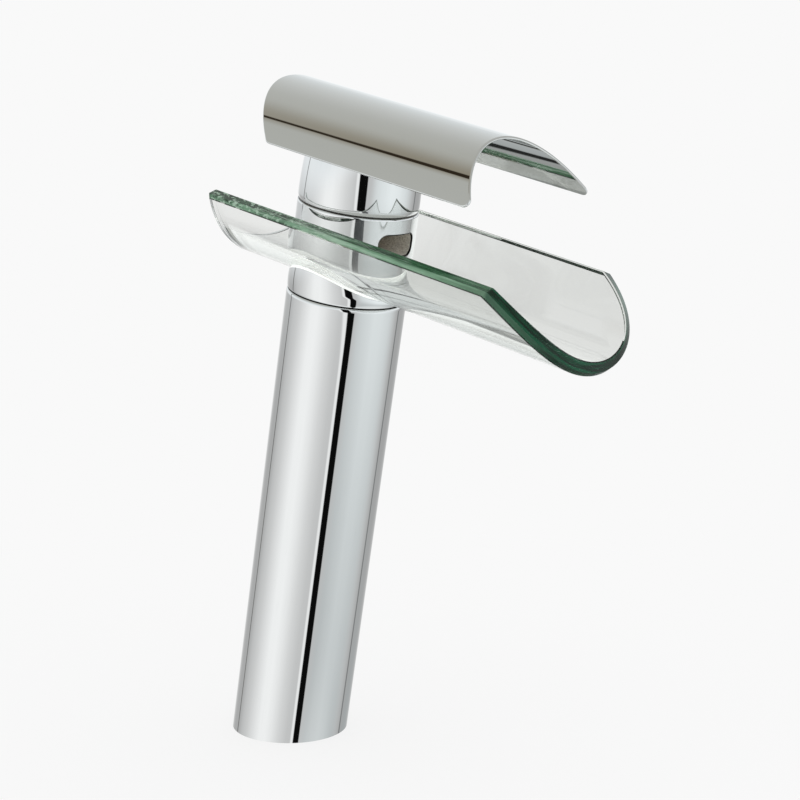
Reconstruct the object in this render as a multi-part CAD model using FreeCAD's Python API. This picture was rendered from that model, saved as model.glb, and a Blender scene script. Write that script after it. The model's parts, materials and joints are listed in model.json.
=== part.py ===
import FreeCAD, Part
import math
import os
from FreeCAD import Vector

# Tall single-lever basin faucet with an open glass spout.  Millimetres.
#
# The body leans towards the basin, so nearly every piece is drawn upright on the
# body axis (x towards the basin, y to the side, z up the body) and is then turned
# about the Y axis by the lean.  The origin is the centre of the foot on the deck.

# ---------------------------------------------------------------- body
LEAN_DEG = 10.5            # body axis off the vertical, towards the basin
BODY_R = 25.0              # outside of column, collar, housing and bonnet
COLUMN_WALL = 3.0
COLUMN_TOP = 199.0         # joint line between column and glass collar
JOINT_ROUND = 1.0          # rounded edge on both sides of each joint line
SLIP = 0.05                # radial play of pieces that slide or screw together
RUNNING = 0.04             # radial play of the joints that turn

# ---------------------------------------------------------------- foot
FOOT_REBATE = 0.7          # the foot's wall is this much thinner, which seats the bridge
GASKET_H = 3.0
GASKET_W = 5.3             # the rubber ring, from the rebate inwards
BRIDGE_H = 8.0
STUD_HOLE_R = 2.5          # tapping size of an M6 stud
STUD_MARGIN = 3.4          # from a stud's centre to the gasket's inner edge
HOSE_PLAY = 1.0            # room around each hose end in the bridge's opening

# ---------------------------------------------------------------- glass spout
GLASS_IN_R = 35.0          # inside of the trough
GLASS_T = 6.0
GLASS_HALF_DEG = 71.5
GLASS_REAR_X = -49.0
GLASS_RIM_X = 103.0        # front end of the two rims
LIP_ROUND = 18.7           # the lip reaches forward of the rims by the sum of these two
LIP_FULL = 10.5
LIP_SPOTS = 10             # spots on each half of the lip's curve
LIP_OVERRUN_DEG = 4.0      # the cutting curve runs this far past the rims
GLASS_ARRIS = 0.5          # ground bevel on the inner edges and the corners
GLASS_BEVEL = 1.6          # ground bevel along the outer edges
COLLAR_WAIST = 3.4         # the collar's height where it is lowest, under the trough
PAD_T = 0.8                # rubber above and below the glass
PAD_INSET = 0.6            # the rubber's edge lies this far inside the body's

# ---------------------------------------------------------------- neck under the housing
NECK_MARGIN = 5.5          # column wall to neck
LEDGE_DEPTH = 3.0          # the column's inner ledge, below the column's top
LEDGE_H = 6.0              # the neck nut pulls against this ledge
LEDGE_PLAY = 0.7
SLEEVE_WALL = 1.35
HOLE_PLAY = 0.15           # sleeve to glass
WASHER_H = 1.5
NUT_H = 9.0
NUT_MARGIN = 1.4           # neck nut to column wall
NUT_SLOT_W = 5.0
NUT_SLOT_D = 2.2
NUT_SLOTS = 6
NECK_END = 9.5             # neck that stands out below its nut
INLET_X = -5.0             # hot and cold ways, side by side
INLET_Y = 7.2
INLET_THREAD_R = 4.5       # tapping size of M10 x 1
INLET_THREAD_L = 12.0
INLET_BORE_R = 2.6

# ---------------------------------------------------------------- outlet
SLOT_W = 19.2
SLOT_H = 8.8
SLOT_ABOVE_FLOOR = 11.8    # slot's lower edge over the trough's floor
SLOT_CORNER_R = 3.4
SLOT_LIP_R = 0.5           # rounded lip where the outlet meets the housing's side
CHAMBER_WALL = 4.9         # metal between the inlet ways and the outlet chamber
CHAMBER_ROOF = 2.2
MIX_PORT_X = 8.5
MIX_PORT_R = 3.6

# ---------------------------------------------------------------- cartridge
CART_MARGIN = 2.05         # cartridge's side to the thread of its retaining nut
CART_BASE_H = 3.5
SEAL_H = 1.2
SEAL_WALL = 1.3
DISC_H = 3.0
DISC_PLAY = 0.45           # fixed disc and guide to the case
CASE_WALL = 1.4
TRAVEL_ROOM = 3.85         # moving disc to the case, in line with its travel
MIX_POCKET_RIM = 1.3
MIX_POCKET_D = 1.6
ISLAND_LAP = 0.8           # how far each island laps over its inlet
CARRIER_H = 4.0
FINGER_ARM = 6.7           # pin down to the ball that pushes the disc carrier
BALL_R = 2.5
BALL_PLAY = 0.3
FINGER_R = 1.9
GUIDE_GAP = 0.9            # disc carrier to lever guide
GUIDE_FLANGE_H = 3.5
GUIDE_PLAY = 0.1           # guide's flange to the case's lip
GUIDE_PROUD = 1.4          # guide above the case's neck
GUIDE_SLOT_X = 8.2
CASE_LIP_H = 1.0
CASE_SHOULDER = 4.75       # cartridge's side to its neck's bearing
CASE_NECK_WALL = 1.8
CASE_NECK_H = 3.0
STEM_W = 8.0
STEM_BEVEL = 0.5
STEM_PLAY = 0.3
STEM_BELOW_PIN = 3.4
STEM_IN_BOSS = 10.0
PIN_R = 2.0
PIN_INSET = 0.7
RING_NUT_H = 4.6
RING_NUT_WALL = 2.3        # housing wall around the retaining nut
RING_NUT_SLOTS = 4

# ---------------------------------------------------------------- bonnet
RING_ABOVE_SEAT = 4.8      # joint line between housing and bonnet, over the cartridge's seat
BONNET_WALL = 3.0
BONNET_PLAY = 0.2          # bonnet to the housing's upper wall
BONNET_STRAIGHT = 2.2      # straight side above the joint line, before it draws in
BONNET_DRAW_IN = 1.0       # how far the side has drawn in at the shoulder
BONNET_SHOULDER_R = 6.0
BONNET_SHOULDER_DROP = 0.4 # shoulder starts this much below the housing's wall top
BONNET_ROOF_T = 2.4
BONNET_ROOF_BEND = 1.6
BONNET_CROWN_W = 1.5       # flat ring around the bonnet's mouth
WALL_PROUD = 0.8           # housing's wall above the retaining nut
O_RING_RISE = 6.2          # O-ring above the joint line
O_RING_R = 0.95
GROOVE_H = 2.2

# ---------------------------------------------------------------- handle
LEVER_GAP = 3.0            # bonnet to handle boss
BOSS_R = 9.0
BOSS_H = 14.6              # boss on its axis, up to the plate
BOSS_ROUND = 0.8
PLATE_OUT_R = 42.5
PLATE_T = 1.2
PLATE_HALF_DEG = 60.2
PLATE_FRONT_X = 89.3       # front tips, at the lower edges
PLATE_REAR_X = -20.3       # rear tips, at the lower edges
PLATE_FRONT_RAKE = 0.89    # how far the front cut runs back for each mm of rise
PLATE_REAR_RAKE = 1.2
PLATE_CORNER_R = 2.4
PLATE_EDGE_R = 0.4
GRUB_R = 2.5
GRUB_INSET = 1.2           # set screw below the boss's side
GRUB_RISE = 5.5
GRUB_SOCKET_R = 1.25
PLUG_GAP = 0.1
PLUG_PROUD = 0.5           # how far the plug stands out of the boss

# ---------------------------------------------------------------- worked out: radii
COLUMN_IN_R = BODY_R - COLUMN_WALL
FOOT_R = COLUMN_IN_R + FOOT_REBATE
GASKET_IN_R = FOOT_R - GASKET_W
STUD_SPACING = 2 * (GASKET_IN_R - STUD_MARGIN)
HOSE_SLOT_R = INLET_THREAD_R + HOSE_PLAY
GLASS_OUT_R = GLASS_IN_R + GLASS_T
NECK_R = COLUMN_IN_R - NECK_MARGIN
GLASS_HOLE_R = NECK_R + SLEEVE_WALL + HOLE_PLAY
PAD_R = BODY_R - PAD_INSET
NUT_R = COLUMN_IN_R - NUT_MARGIN
BONNET_IN_R = BODY_R - BONNET_WALL
CROWN_R = BODY_R - BONNET_DRAW_IN - BONNET_SHOULDER_R
WALL_R = BONNET_IN_R - BONNET_PLAY
RING_NUT_R = WALL_R - RING_NUT_WALL
CART_R = RING_NUT_R - CART_MARGIN
WELL_R = CART_R + SLIP
CASE_IN_R = CART_R - CASE_WALL
CASE_NECK_IN_R = CART_R - CASE_SHOULDER
CASE_NECK_OUT_R = CASE_NECK_IN_R + CASE_NECK_WALL
MOVING_DISC_R = CASE_IN_R - TRAVEL_ROOM
O_RING_SEAT_R = BONNET_IN_R - 2 * O_RING_R - SLIP
PLATE_IN_R = PLATE_OUT_R - PLATE_T

# ---------------------------------------------------------------- worked out: heights on the body axis
LEDGE_TOP = COLUMN_TOP - LEDGE_DEPTH
LEDGE_BOTTOM = LEDGE_TOP - LEDGE_H
NUT_TOP = LEDGE_BOTTOM - WASHER_H
NECK_BOTTOM = NUT_TOP - NUT_H - NECK_END
GLASS_AXIS_Z = COLUMN_TOP + COLLAR_WAIST + PAD_T + GLASS_OUT_R
TROUGH_FLOOR = GLASS_AXIS_Z - GLASS_IN_R
SLOT_BOTTOM = TROUGH_FLOOR + SLOT_ABOVE_FLOOR
SLOT_TOP = SLOT_BOTTOM + SLOT_H
SEAT_Z = SLOT_TOP + CHAMBER_ROOF
HOUSING_TOP = SEAT_Z + RING_ABOVE_SEAT
BASE_TOP = SEAT_Z + CART_BASE_H
FIXED_TOP = BASE_TOP + DISC_H
MOVING_TOP = FIXED_TOP + DISC_H
CARRIER_TOP = MOVING_TOP + CARRIER_H
BALL_Z = MOVING_TOP + BALL_R + BALL_PLAY
PIVOT_Z = BALL_Z + FINGER_ARM
GUIDE_BOTTOM = CARRIER_TOP + GUIDE_GAP
FLANGE_TOP = GUIDE_BOTTOM + GUIDE_FLANGE_H
CASE_TOP = FLANGE_TOP + GUIDE_PLAY + CASE_LIP_H
CASE_NECK_TOP = CASE_TOP + CASE_NECK_H
GUIDE_TOP = CASE_NECK_TOP + GUIDE_PROUD
RING_NUT_TOP = CASE_TOP + RING_NUT_H
WALL_TOP = RING_NUT_TOP + WALL_PROUD
SHOULDER_Z = WALL_TOP - BONNET_SHOULDER_DROP
BONNET_TOP = SHOULDER_Z + BONNET_SHOULDER_R
BOSS_BOTTOM = BONNET_TOP + LEVER_GAP
STEM_TOP = BOSS_BOTTOM + STEM_IN_BOSS
PLATE_AXIS_Z = BOSS_BOTTOM + BOSS_H - PLATE_IN_R
GRUB_Z = BOSS_BOTTOM + GRUB_RISE

CHAMBER_BACK_X = INLET_X + INLET_BORE_R + CHAMBER_WALL
GRUB_L = BOSS_R - STEM_W / 2 - GRUB_INSET
PORTS = [(INLET_X, INLET_Y, INLET_BORE_R), (INLET_X, -INLET_Y, INLET_BORE_R),
         (MIX_PORT_X, 0.0, MIX_PORT_R)]
FAR = 2 * (COLUMN_TOP + GLASS_RIM_X)     # longer than anything here

os.makedirs("parts", exist_ok=True)


# ---------------------------------------------------------------- helpers
def cylinder(radius, bottom, top, x=0.0, y=0.0):
    """Upright round bar between two heights."""
    return Part.makeCylinder(radius, top - bottom, Vector(x, y, bottom))


def tube(outside, inside, bottom, top, x=0.0, y=0.0):
    """Upright round tube between two heights."""
    return cylinder(outside, bottom, top, x, y).cut(cylinder(inside, bottom, top, x, y))


def block(low, high):
    """Box between two corners."""
    size = [high[i] - low[i] for i in range(3)]
    return Part.makeBox(size[0], size[1], size[2], Vector(*low))


def turned(edges):
    """Solid turned about the body axis from a closed outline of edges."""
    face = Part.Face(Part.Wire(Part.__sortEdges__(edges)))
    return face.revolve(Vector(0, 0, 0), Vector(0, 0, 1), 360)


def rounded_bar(radius, bottom, top, low_round, high_round):
    """Round bar with rounded ends; a radius of 0 leaves that end square."""
    bar = cylinder(radius, bottom, top)
    for height, edge_r in ((bottom, low_round), (top, high_round)):
        if edge_r:
            rim = [e for e in bar.Edges if abs(e.BoundBox.ZMin - height) < SLIP
                   and e.BoundBox.ZLength < SLIP and e.Closed]
            bar = bar.makeFillet(edge_r, rim)
    return bar


def ring_of(shape, count):
    """Copies of a shape, evenly turned about the body axis."""
    copies = []
    for i in range(count):
        copy = shape.copy()
        copy.rotate(Vector(0, 0, 0), Vector(0, 0, 1), 360 / count * i)
        copies.append(copy)
    return copies


def lying(radius, axis_z, rear=-FAR, front=FAR):
    """Round bar along the x axis at a height on the body."""
    return Part.makeCylinder(radius, front - rear, Vector(rear, 0, axis_z), Vector(1, 0, 0))


def sector(radius, axis_z, half_deg, rear, front, upward):
    """Slice of a lying bar within an angle of straight down, or of straight up."""
    reach = 2.0 * radius
    side = reach * math.tan(math.radians(half_deg))
    tip = reach if upward else -reach
    wedge = Part.makePolygon([Vector(rear, 0, axis_z), Vector(rear, side, axis_z + tip),
                              Vector(rear, -side, axis_z + tip), Vector(rear, 0, axis_z)])
    prism = Part.Face(wedge).extrude(Vector(front - rear, 0, 0))
    return lying(radius, axis_z, rear, front).common(prism)


def leaned(shape):
    """Turns a piece from the upright body to its place in the leaning faucet."""
    placed = shape.copy()
    placed.rotate(Vector(0, 0, 0), Vector(0, 1, 0), LEAN_DEG)
    return placed


def save(name, shape):
    """Writes one named piece, in place."""
    solids = shape.Solids
    whole = solids[0] if len(solids) == 1 else Part.makeCompound(solids)
    if not whole.isValid():
        raise ValueError(name + " is not valid")
    whole.exportStep("parts/" + name + ".step")
    print(f"{name:22s} solids {len(solids)}  volume {whole.Volume:10.1f}")


def save_leaned(name, shape):
    save(name, leaned(shape))


def level_slab(bottom, top):
    """Level layer of the leaning faucet, between two heights above the deck."""
    return block((-FAR, -FAR, bottom), (FAR, FAR, top))


# ---------------------------------------------------------------- foot and column
def column():
    """Leaning tube; its foot is cut level, and a ledge inside takes the neck."""
    shell = rounded_bar(BODY_R, -BODY_R, COLUMN_TOP, 0, JOINT_ROUND)
    shell = shell.cut(cylinder(COLUMN_IN_R, -2 * BODY_R, LEDGE_BOTTOM))
    shell = shell.cut(cylinder(NECK_R + LEDGE_PLAY, -2 * BODY_R, FAR))
    shell = shell.cut(cylinder(COLUMN_IN_R - SLIP, LEDGE_TOP, FAR))
    shell = leaned(shell)
    rebate = leaned(cylinder(FOOT_R, -2 * BODY_R, 2 * BODY_R))
    rebate = rebate.common(level_slab(-BODY_R, GASKET_H + BRIDGE_H))
    return shell.cut(rebate).common(level_slab(0, FAR))


def foot_filler(bottom, top):
    """What fills the foot's rebate between two levels."""
    plug = leaned(cylinder(FOOT_R - SLIP, -2 * BODY_R, 2 * BODY_R))
    return plug.common(level_slab(bottom, top))


def stud_bridge():
    """Level plate in the foot with two stud holes and the opening for the hoses."""
    plate = foot_filler(GASKET_H, GASKET_H + BRIDGE_H)
    reach = 2 * BODY_R
    for side in (-1, 1):
        plate = plate.cut(cylinder(STUD_HOLE_R, -reach, reach, side * STUD_SPACING / 2))
    ways = [cylinder(HOSE_SLOT_R, -reach, reach, INLET_X, side * INLET_Y) for side in (-1, 1)]
    between = block((INLET_X - HOSE_SLOT_R, -INLET_Y, -reach),
                    (INLET_X + HOSE_SLOT_R, INLET_Y, reach))
    return plate.cut(leaned(ways[0].fuse([ways[1], between])))


def base_gasket():
    """Rubber ring under the bridge, flush with the foot."""
    ring = foot_filler(0, GASKET_H)
    return ring.cut(cylinder(GASKET_IN_R, -BODY_R, BODY_R))


# ---------------------------------------------------------------- around the glass
def glass_collar():
    """Ring between column and glass; its top is a saddle under the trough."""
    ring = rounded_bar(BODY_R, COLUMN_TOP, GLASS_AXIS_Z, JOINT_ROUND, 0)
    ring = ring.cut(cylinder(GLASS_HOLE_R, COLUMN_TOP, GLASS_AXIS_Z))
    return ring.cut(lying(GLASS_OUT_R + PAD_T, GLASS_AXIS_Z))


def saddle_pad(inside):
    """Rubber ring curved to the trough, lying against one side of the glass."""
    pad = lying(inside + PAD_T, GLASS_AXIS_Z).cut(lying(inside, GLASS_AXIS_Z))
    return pad.common(tube(PAD_R, GLASS_HOLE_R, COLUMN_TOP, GLASS_AXIS_Z))


def lip_curve(radius):
    """The spout's front edge on a cylinder of the given radius, run on past the rims."""
    spots = []
    overrun = 1 + LIP_OVERRUN_DEG / GLASS_HALF_DEG
    for i in range(-LIP_SPOTS, LIP_SPOTS + 1):
        u = i / LIP_SPOTS * overrun
        angle = math.radians(GLASS_HALF_DEG) * u
        x = GLASS_RIM_X + LIP_ROUND * (1 - u ** 2) + LIP_FULL * (1 - u ** 4)
        spots.append(Vector(x, radius * math.sin(angle), GLASS_AXIS_Z - radius * math.cos(angle)))
    curve = Part.BSplineCurve()
    curve.interpolate(spots)
    return curve.toShape()


def from_glass_axis(edge):
    """Nearest and farthest distance of an edge's ends and middle from the trough's axis."""
    spots = [edge.valueAt(edge.FirstParameter + k * (edge.LastParameter - edge.FirstParameter) / 4)
             for k in range(5)]
    away = [math.hypot(p.y, p.z - GLASS_AXIS_Z) for p in spots]
    return min(away), max(away)


def on_outer_glass(edge):
    return from_glass_axis(edge)[0] > GLASS_OUT_R - SLIP


def on_inner_glass(edge):
    return from_glass_axis(edge)[1] < GLASS_IN_R + SLIP


def glass_spout():
    """Open trough of bent glass with a rounded lip and a hole for the neck."""
    front = GLASS_RIM_X + 2 * (LIP_ROUND + LIP_FULL)
    trough = sector(GLASS_OUT_R, GLASS_AXIS_Z, GLASS_HALF_DEG, GLASS_REAR_X, front, False)
    trough = trough.cut(lying(GLASS_IN_R, GLASS_AXIS_Z))
    edge_face = Part.makeRuledSurface(lip_curve(GLASS_IN_R - GLASS_T),
                                      lip_curve(GLASS_OUT_R + GLASS_T))
    trough = trough.cut(edge_face.extrude(Vector(FAR, 0, 0)))
    trough = trough.makeChamfer(GLASS_BEVEL, [e for e in trough.Edges if on_outer_glass(e)])
    trough = trough.makeChamfer(GLASS_ARRIS, [e for e in trough.Edges if on_inner_glass(e)])
    return trough.cut(cylinder(GLASS_HOLE_R, COLUMN_TOP, GLASS_AXIS_Z))


def neck_sleeve():
    """Plastic sleeve that centres collar and glass on the neck."""
    return tube(NECK_R + SLEEVE_WALL, NECK_R + SLIP, LEDGE_TOP, TROUGH_FLOOR)


# ---------------------------------------------------------------- housing
def rounded_slot():
    """Outline of the outlet, swept along x from the chamber's back to the outside."""
    half = SLOT_W / 2
    bar = block((CHAMBER_BACK_X, -half, SLOT_BOTTOM), (2 * BODY_R, half, SLOT_TOP))
    long_edges = [e for e in bar.Edges
                  if abs(e.Vertexes[0].Point.x - e.Vertexes[1].Point.x) > BODY_R]
    return bar.makeFillet(SLOT_CORNER_R, long_edges)


def on_slot_lip(edge):
    """True for the edges where the outlet leaves the housing's side."""
    box = edge.BoundBox
    return (box.ZMin > SLOT_BOTTOM - SLIP and box.ZMax < SLOT_TOP + SLIP
            and box.XMin > BODY_R - SLOT_W / 4 and box.XMax < BODY_R + SLIP
            and abs(edge.CenterOfMass.y) < SLOT_W / 2 and all_at_side(edge))


def all_at_side(edge):
    """True if an edge lies on the body's outer side."""
    return all(abs(math.hypot(v.X, v.Y) - BODY_R) < SLIP for v in edge.Vertexes)


def valve_housing():
    """Casting with the outlet, the cartridge well and the neck with both inlets."""
    body = rounded_bar(BODY_R, COLUMN_TOP, HOUSING_TOP, 0, JOINT_ROUND)
    body = body.common(lying(GLASS_IN_R - PAD_T, GLASS_AXIS_Z))
    body = body.fuse([cylinder(NECK_R, NECK_BOTTOM, SEAT_Z), cylinder(WALL_R, SEAT_Z, WALL_TOP)])
    body = body.removeSplitter()
    well = cylinder(WELL_R, SEAT_Z, CASE_TOP)
    nut_well = cylinder(RING_NUT_R + SLIP, CASE_TOP, FAR)
    groove_z = HOUSING_TOP + O_RING_RISE
    groove = tube(BODY_R, O_RING_SEAT_R, groove_z - GROOVE_H / 2, groove_z + GROOVE_H / 2)
    mix_port = cylinder(MIX_PORT_R, SLOT_BOTTOM + SLOT_CORNER_R, SEAT_Z, MIX_PORT_X)
    cuts = [nut_well, groove, rounded_slot(), mix_port]
    for side in (-1, 1):
        y = side * INLET_Y
        cuts.append(cylinder(INLET_THREAD_R, NECK_BOTTOM, NECK_BOTTOM + INLET_THREAD_L, INLET_X, y))
        cuts.append(cylinder(INLET_BORE_R, NECK_BOTTOM, SEAT_Z, INLET_X, y))
    body = body.cut([well] + cuts)
    lip = [e for e in body.Edges if on_slot_lip(e)]
    return body.makeFillet(SLOT_LIP_R, lip)


def neck_washer():
    """Flat washer under the column's ledge."""
    return tube(NUT_R, NECK_R + SLIP, NUT_TOP, LEDGE_BOTTOM)


def neck_nut():
    """Slotted ring nut that clamps glass and housing to the column."""
    bottom = NUT_TOP - NUT_H
    nut = tube(NUT_R, NECK_R + SLIP, bottom, NUT_TOP)
    half = NUT_SLOT_W / 2
    slot = block((NUT_R - NUT_SLOT_D, -half, bottom), (2 * NUT_R, half, NUT_TOP))
    return nut.cut(ring_of(slot, NUT_SLOTS))


# ---------------------------------------------------------------- cartridge
def port_holes(shape, bottom, top):
    for x, y, r in PORTS:
        shape = shape.cut(cylinder(r, bottom, top, x, y))
    return shape


def seal_rings(bottom):
    """Three rubber rings around the ports, at one height."""
    rings = [tube(r + SEAL_WALL, r, bottom, bottom + SEAL_H, x, y) for x, y, r in PORTS]
    return Part.makeCompound(rings)


def cartridge_base():
    """Plastic floor of the cartridge, with pockets for the seals on both faces."""
    base = port_holes(cylinder(CART_R, SEAT_Z, BASE_TOP), SEAT_Z, BASE_TOP)
    for x, y, r in PORTS:
        pocket_r = r + SEAL_WALL
        base = base.cut(cylinder(pocket_r, SEAT_Z, SEAT_Z + SEAL_H, x, y))
        base = base.cut(cylinder(pocket_r, BASE_TOP - SEAL_H, BASE_TOP, x, y))
    return base


def fixed_disc():
    disc = cylinder(CASE_IN_R - DISC_PLAY, BASE_TOP, FIXED_TOP)
    return port_holes(disc, BASE_TOP, FIXED_TOP)


def moving_disc():
    """Ceramic disc with a mixing pocket; two islands close the inlets at rest."""
    disc = cylinder(MOVING_DISC_R, FIXED_TOP, MOVING_TOP)
    pocket = cylinder(MOVING_DISC_R - MIX_POCKET_RIM, FIXED_TOP, FIXED_TOP + MIX_POCKET_D)
    island_r = INLET_BORE_R + ISLAND_LAP
    for side in (-1, 1):
        pocket = pocket.cut(cylinder(island_r, FIXED_TOP, MOVING_TOP, INLET_X, side * INLET_Y))
    return disc.cut(pocket)


def disc_carrier():
    """Slider on the moving disc, with a pocket for the lever's ball."""
    slider = cylinder(MOVING_DISC_R, MOVING_TOP, CARRIER_TOP)
    half = BALL_R + BALL_PLAY
    pocket = block((-half, -half, MOVING_TOP), (half, half, CARRIER_TOP))
    return slider.cut(pocket)


def cartridge_case():
    """Round case over the discs; its neck is the lever guide's bearing."""
    case = cylinder(CART_R, BASE_TOP, CASE_TOP).fuse(
        cylinder(CASE_NECK_OUT_R, CASE_TOP, CASE_NECK_TOP)).removeSplitter()
    case = case.cut(cylinder(CASE_IN_R, BASE_TOP, CASE_TOP - CASE_LIP_H))
    return case.cut(cylinder(CASE_NECK_IN_R, BASE_TOP, CASE_NECK_TOP))


def lever_guide():
    """Turning part of the cartridge; its two cheeks carry the lever's pin."""
    guide = cylinder(CASE_IN_R - DISC_PLAY, GUIDE_BOTTOM, FLANGE_TOP).fuse(
        cylinder(CASE_NECK_IN_R - RUNNING, FLANGE_TOP, GUIDE_TOP)).removeSplitter()
    half = STEM_W / 2 + STEM_PLAY
    guide = guide.cut(block((-GUIDE_SLOT_X, -half, GUIDE_BOTTOM), (GUIDE_SLOT_X, half, GUIDE_TOP)))
    return guide.cut(lever_pin())


def lever_pin():
    half = CASE_NECK_IN_R - PIN_INSET
    return Part.makeCylinder(PIN_R, 2 * half, Vector(0, -half, PIVOT_Z), Vector(0, 1, 0))


def lever_stem():
    """Square metal lever with a finger and a ball below its pin."""
    half = STEM_W / 2
    bottom = PIVOT_Z - STEM_BELOW_PIN
    stem = block((-half, -half, bottom), (half, half, STEM_TOP))
    stem = stem.makeChamfer(STEM_BEVEL, [e for e in stem.Edges if e.Length > STEM_W + SLIP])
    stem = stem.fuse([cylinder(FINGER_R, BALL_Z, bottom + FINGER_R),
                      Part.makeSphere(BALL_R, Vector(0, 0, BALL_Z))])
    bore = Part.makeCylinder(PIN_R + RUNNING, 2 * STEM_W, Vector(0, -STEM_W, PIVOT_Z),
                             Vector(0, 1, 0))
    return stem.cut(bore)


def retaining_nut():
    """Ring nut that holds the cartridge down in its well."""
    nut = tube(RING_NUT_R, CASE_NECK_OUT_R + SLIP, CASE_TOP, RING_NUT_TOP)
    half = NUT_SLOT_W / 2
    slot = block((RING_NUT_R - NUT_SLOT_D, -half, CASE_TOP + RING_NUT_H / 2),
                 (2 * RING_NUT_R, half, RING_NUT_TOP))
    return nut.cut(ring_of(slot, RING_NUT_SLOTS))


# ---------------------------------------------------------------- bonnet
def bonnet_o_ring():
    return Part.makeTorus(O_RING_SEAT_R + O_RING_R, O_RING_R,
                          Vector(0, 0, HOUSING_TOP + O_RING_RISE))


def bonnet():
    """Domed cover over the cartridge; the lever comes out of its mouth."""
    low = HOUSING_TOP
    draw_z = low + BONNET_STRAIGHT
    rise = SHOULDER_Z - draw_z
    side_r = (rise ** 2 + BONNET_DRAW_IN ** 2) / (2 * BONNET_DRAW_IN)
    half_angle = math.asin(rise / side_r) / 2
    side_mid = (BODY_R - side_r * (1 - math.cos(half_angle)),
                draw_z + side_r * math.sin(half_angle))
    shoulder_r = BODY_R - BONNET_DRAW_IN
    bend = math.radians(45)
    shoulder_mid = (CROWN_R + BONNET_SHOULDER_R * math.cos(bend),
                    SHOULDER_Z + BONNET_SHOULDER_R * math.sin(bend))

    def spot(point):
        return Vector(point[0], 0, point[1])

    def line(a, b):
        return Part.LineSegment(spot(a), spot(b)).toShape()

    def arc(a, b, c):
        return Part.Arc(spot(a), spot(b), spot(c)).toShape()

    roof_z = BONNET_TOP - BONNET_ROOF_T
    side_low = (BODY_R, low + JOINT_ROUND)
    foot_mid = (BODY_R - JOINT_ROUND * (1 - math.cos(bend)), low + JOINT_ROUND * (1 - math.sin(bend)))
    side_start = (BODY_R, draw_z)
    side_end = (shoulder_r, SHOULDER_Z)
    crown = (CROWN_R, BONNET_TOP)
    mouth_top = (CROWN_R - BONNET_CROWN_W, BONNET_TOP)
    mouth_low = (CROWN_R - BONNET_CROWN_W, roof_z)
    roof = (BONNET_IN_R - BONNET_ROOF_BEND, roof_z)
    roof_side = (BONNET_IN_R, roof_z - BONNET_ROOF_BEND)
    inside_low = (BONNET_IN_R, low)
    foot = (BODY_R - JOINT_ROUND, low)
    edges = [line(side_low, side_start), arc(side_start, side_mid, side_end),
             arc(side_end, shoulder_mid, crown), line(crown, mouth_top), line(mouth_top, mouth_low),
             line(mouth_low, roof), line(roof, roof_side), line(roof_side, inside_low),
             line(inside_low, foot), arc(foot, foot_mid, side_low)]
    return turned(edges)


# ---------------------------------------------------------------- handle
def raked_cut(tip_x, rake, tip_z, forward):
    """Everything beyond a slanted end cut of the handle."""
    rise = 2 * PLATE_OUT_R
    out = FAR if forward else -FAR
    low = Vector(tip_x + rake * rise, -FAR, tip_z - rise)
    high = Vector(tip_x - rake * rise, -FAR, tip_z + rise)
    corners = [low, high, high + Vector(out, 0, 0), low + Vector(out, 0, 0), low]
    return Part.Face(Part.makePolygon(corners)).extrude(Vector(0, 2 * FAR, 0))


def handle_plate():
    """Half pipe with both ends cut on the slant and its four corners rounded."""
    plate = sector(PLATE_OUT_R, PLATE_AXIS_Z, PLATE_HALF_DEG, -FAR / 2, FAR / 2, True)
    plate = plate.cut(lying(PLATE_IN_R, PLATE_AXIS_Z))
    tip_z = PLATE_AXIS_Z + PLATE_OUT_R * math.cos(math.radians(PLATE_HALF_DEG))
    plate = plate.cut(raked_cut(PLATE_FRONT_X, PLATE_FRONT_RAKE, tip_z, True))
    plate = plate.cut(raked_cut(PLATE_REAR_X, PLATE_REAR_RAKE, tip_z, False))
    corners = [e for e in plate.Edges if e.Length < 2 * PLATE_T]
    plate = plate.makeFillet(PLATE_CORNER_R, corners)
    rims = [e for e in plate.Edges if e.Length > 1.01 * PLATE_T]
    return plate.makeFillet(PLATE_EDGE_R, rims)


def grub_hole():
    """Radial hole at the back of the boss, from outside to the stem."""
    return Part.makeCylinder(GRUB_R, BOSS_R, Vector(-BOSS_R, 0, GRUB_Z), Vector(1, 0, 0))


def handle_boss():
    """Round boss under the handle that slips over the square stem."""
    boss = rounded_bar(BOSS_R, BOSS_BOTTOM, PLATE_AXIS_Z + PLATE_OUT_R, BOSS_ROUND, 0)
    boss = boss.common(lying(PLATE_IN_R, PLATE_AXIS_Z))
    half = STEM_W / 2 + SLIP
    boss = boss.cut(block((-half, -half, BOSS_BOTTOM), (half, half, STEM_TOP + SLIP)))
    return boss.cut(grub_hole())


def grub_screw():
    """Set screw with a hexagon socket, its tip on the stem."""
    tip_x = -STEM_W / 2
    screw = Part.makeCylinder(GRUB_R - SLIP, GRUB_L, Vector(tip_x - GRUB_L, 0, GRUB_Z),
                              Vector(1, 0, 0))
    corners = []
    for i in range(7):
        a = math.radians(60 * i)
        corners.append(Vector(tip_x - GRUB_L, GRUB_SOCKET_R * math.cos(a),
                              GRUB_Z + GRUB_SOCKET_R * math.sin(a)))
    socket = Part.Face(Part.makePolygon(corners)).extrude(Vector(GRUB_L / 2, 0, 0))
    return screw.cut(socket)


def screw_plug():
    """Small plastic plug that closes the screw's hole."""
    outer_x = -BOSS_R - PLUG_PROUD
    inner_x = -STEM_W / 2 - GRUB_L - PLUG_GAP
    plug = Part.makeCylinder(GRUB_R - SLIP, inner_x - outer_x, Vector(outer_x, 0, GRUB_Z),
                             Vector(1, 0, 0))
    rim = [e for e in plug.Edges if abs(e.CenterOfMass.x - outer_x) < 1e-6]
    return plug.makeChamfer(PLUG_PROUD / 2, rim)


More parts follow.
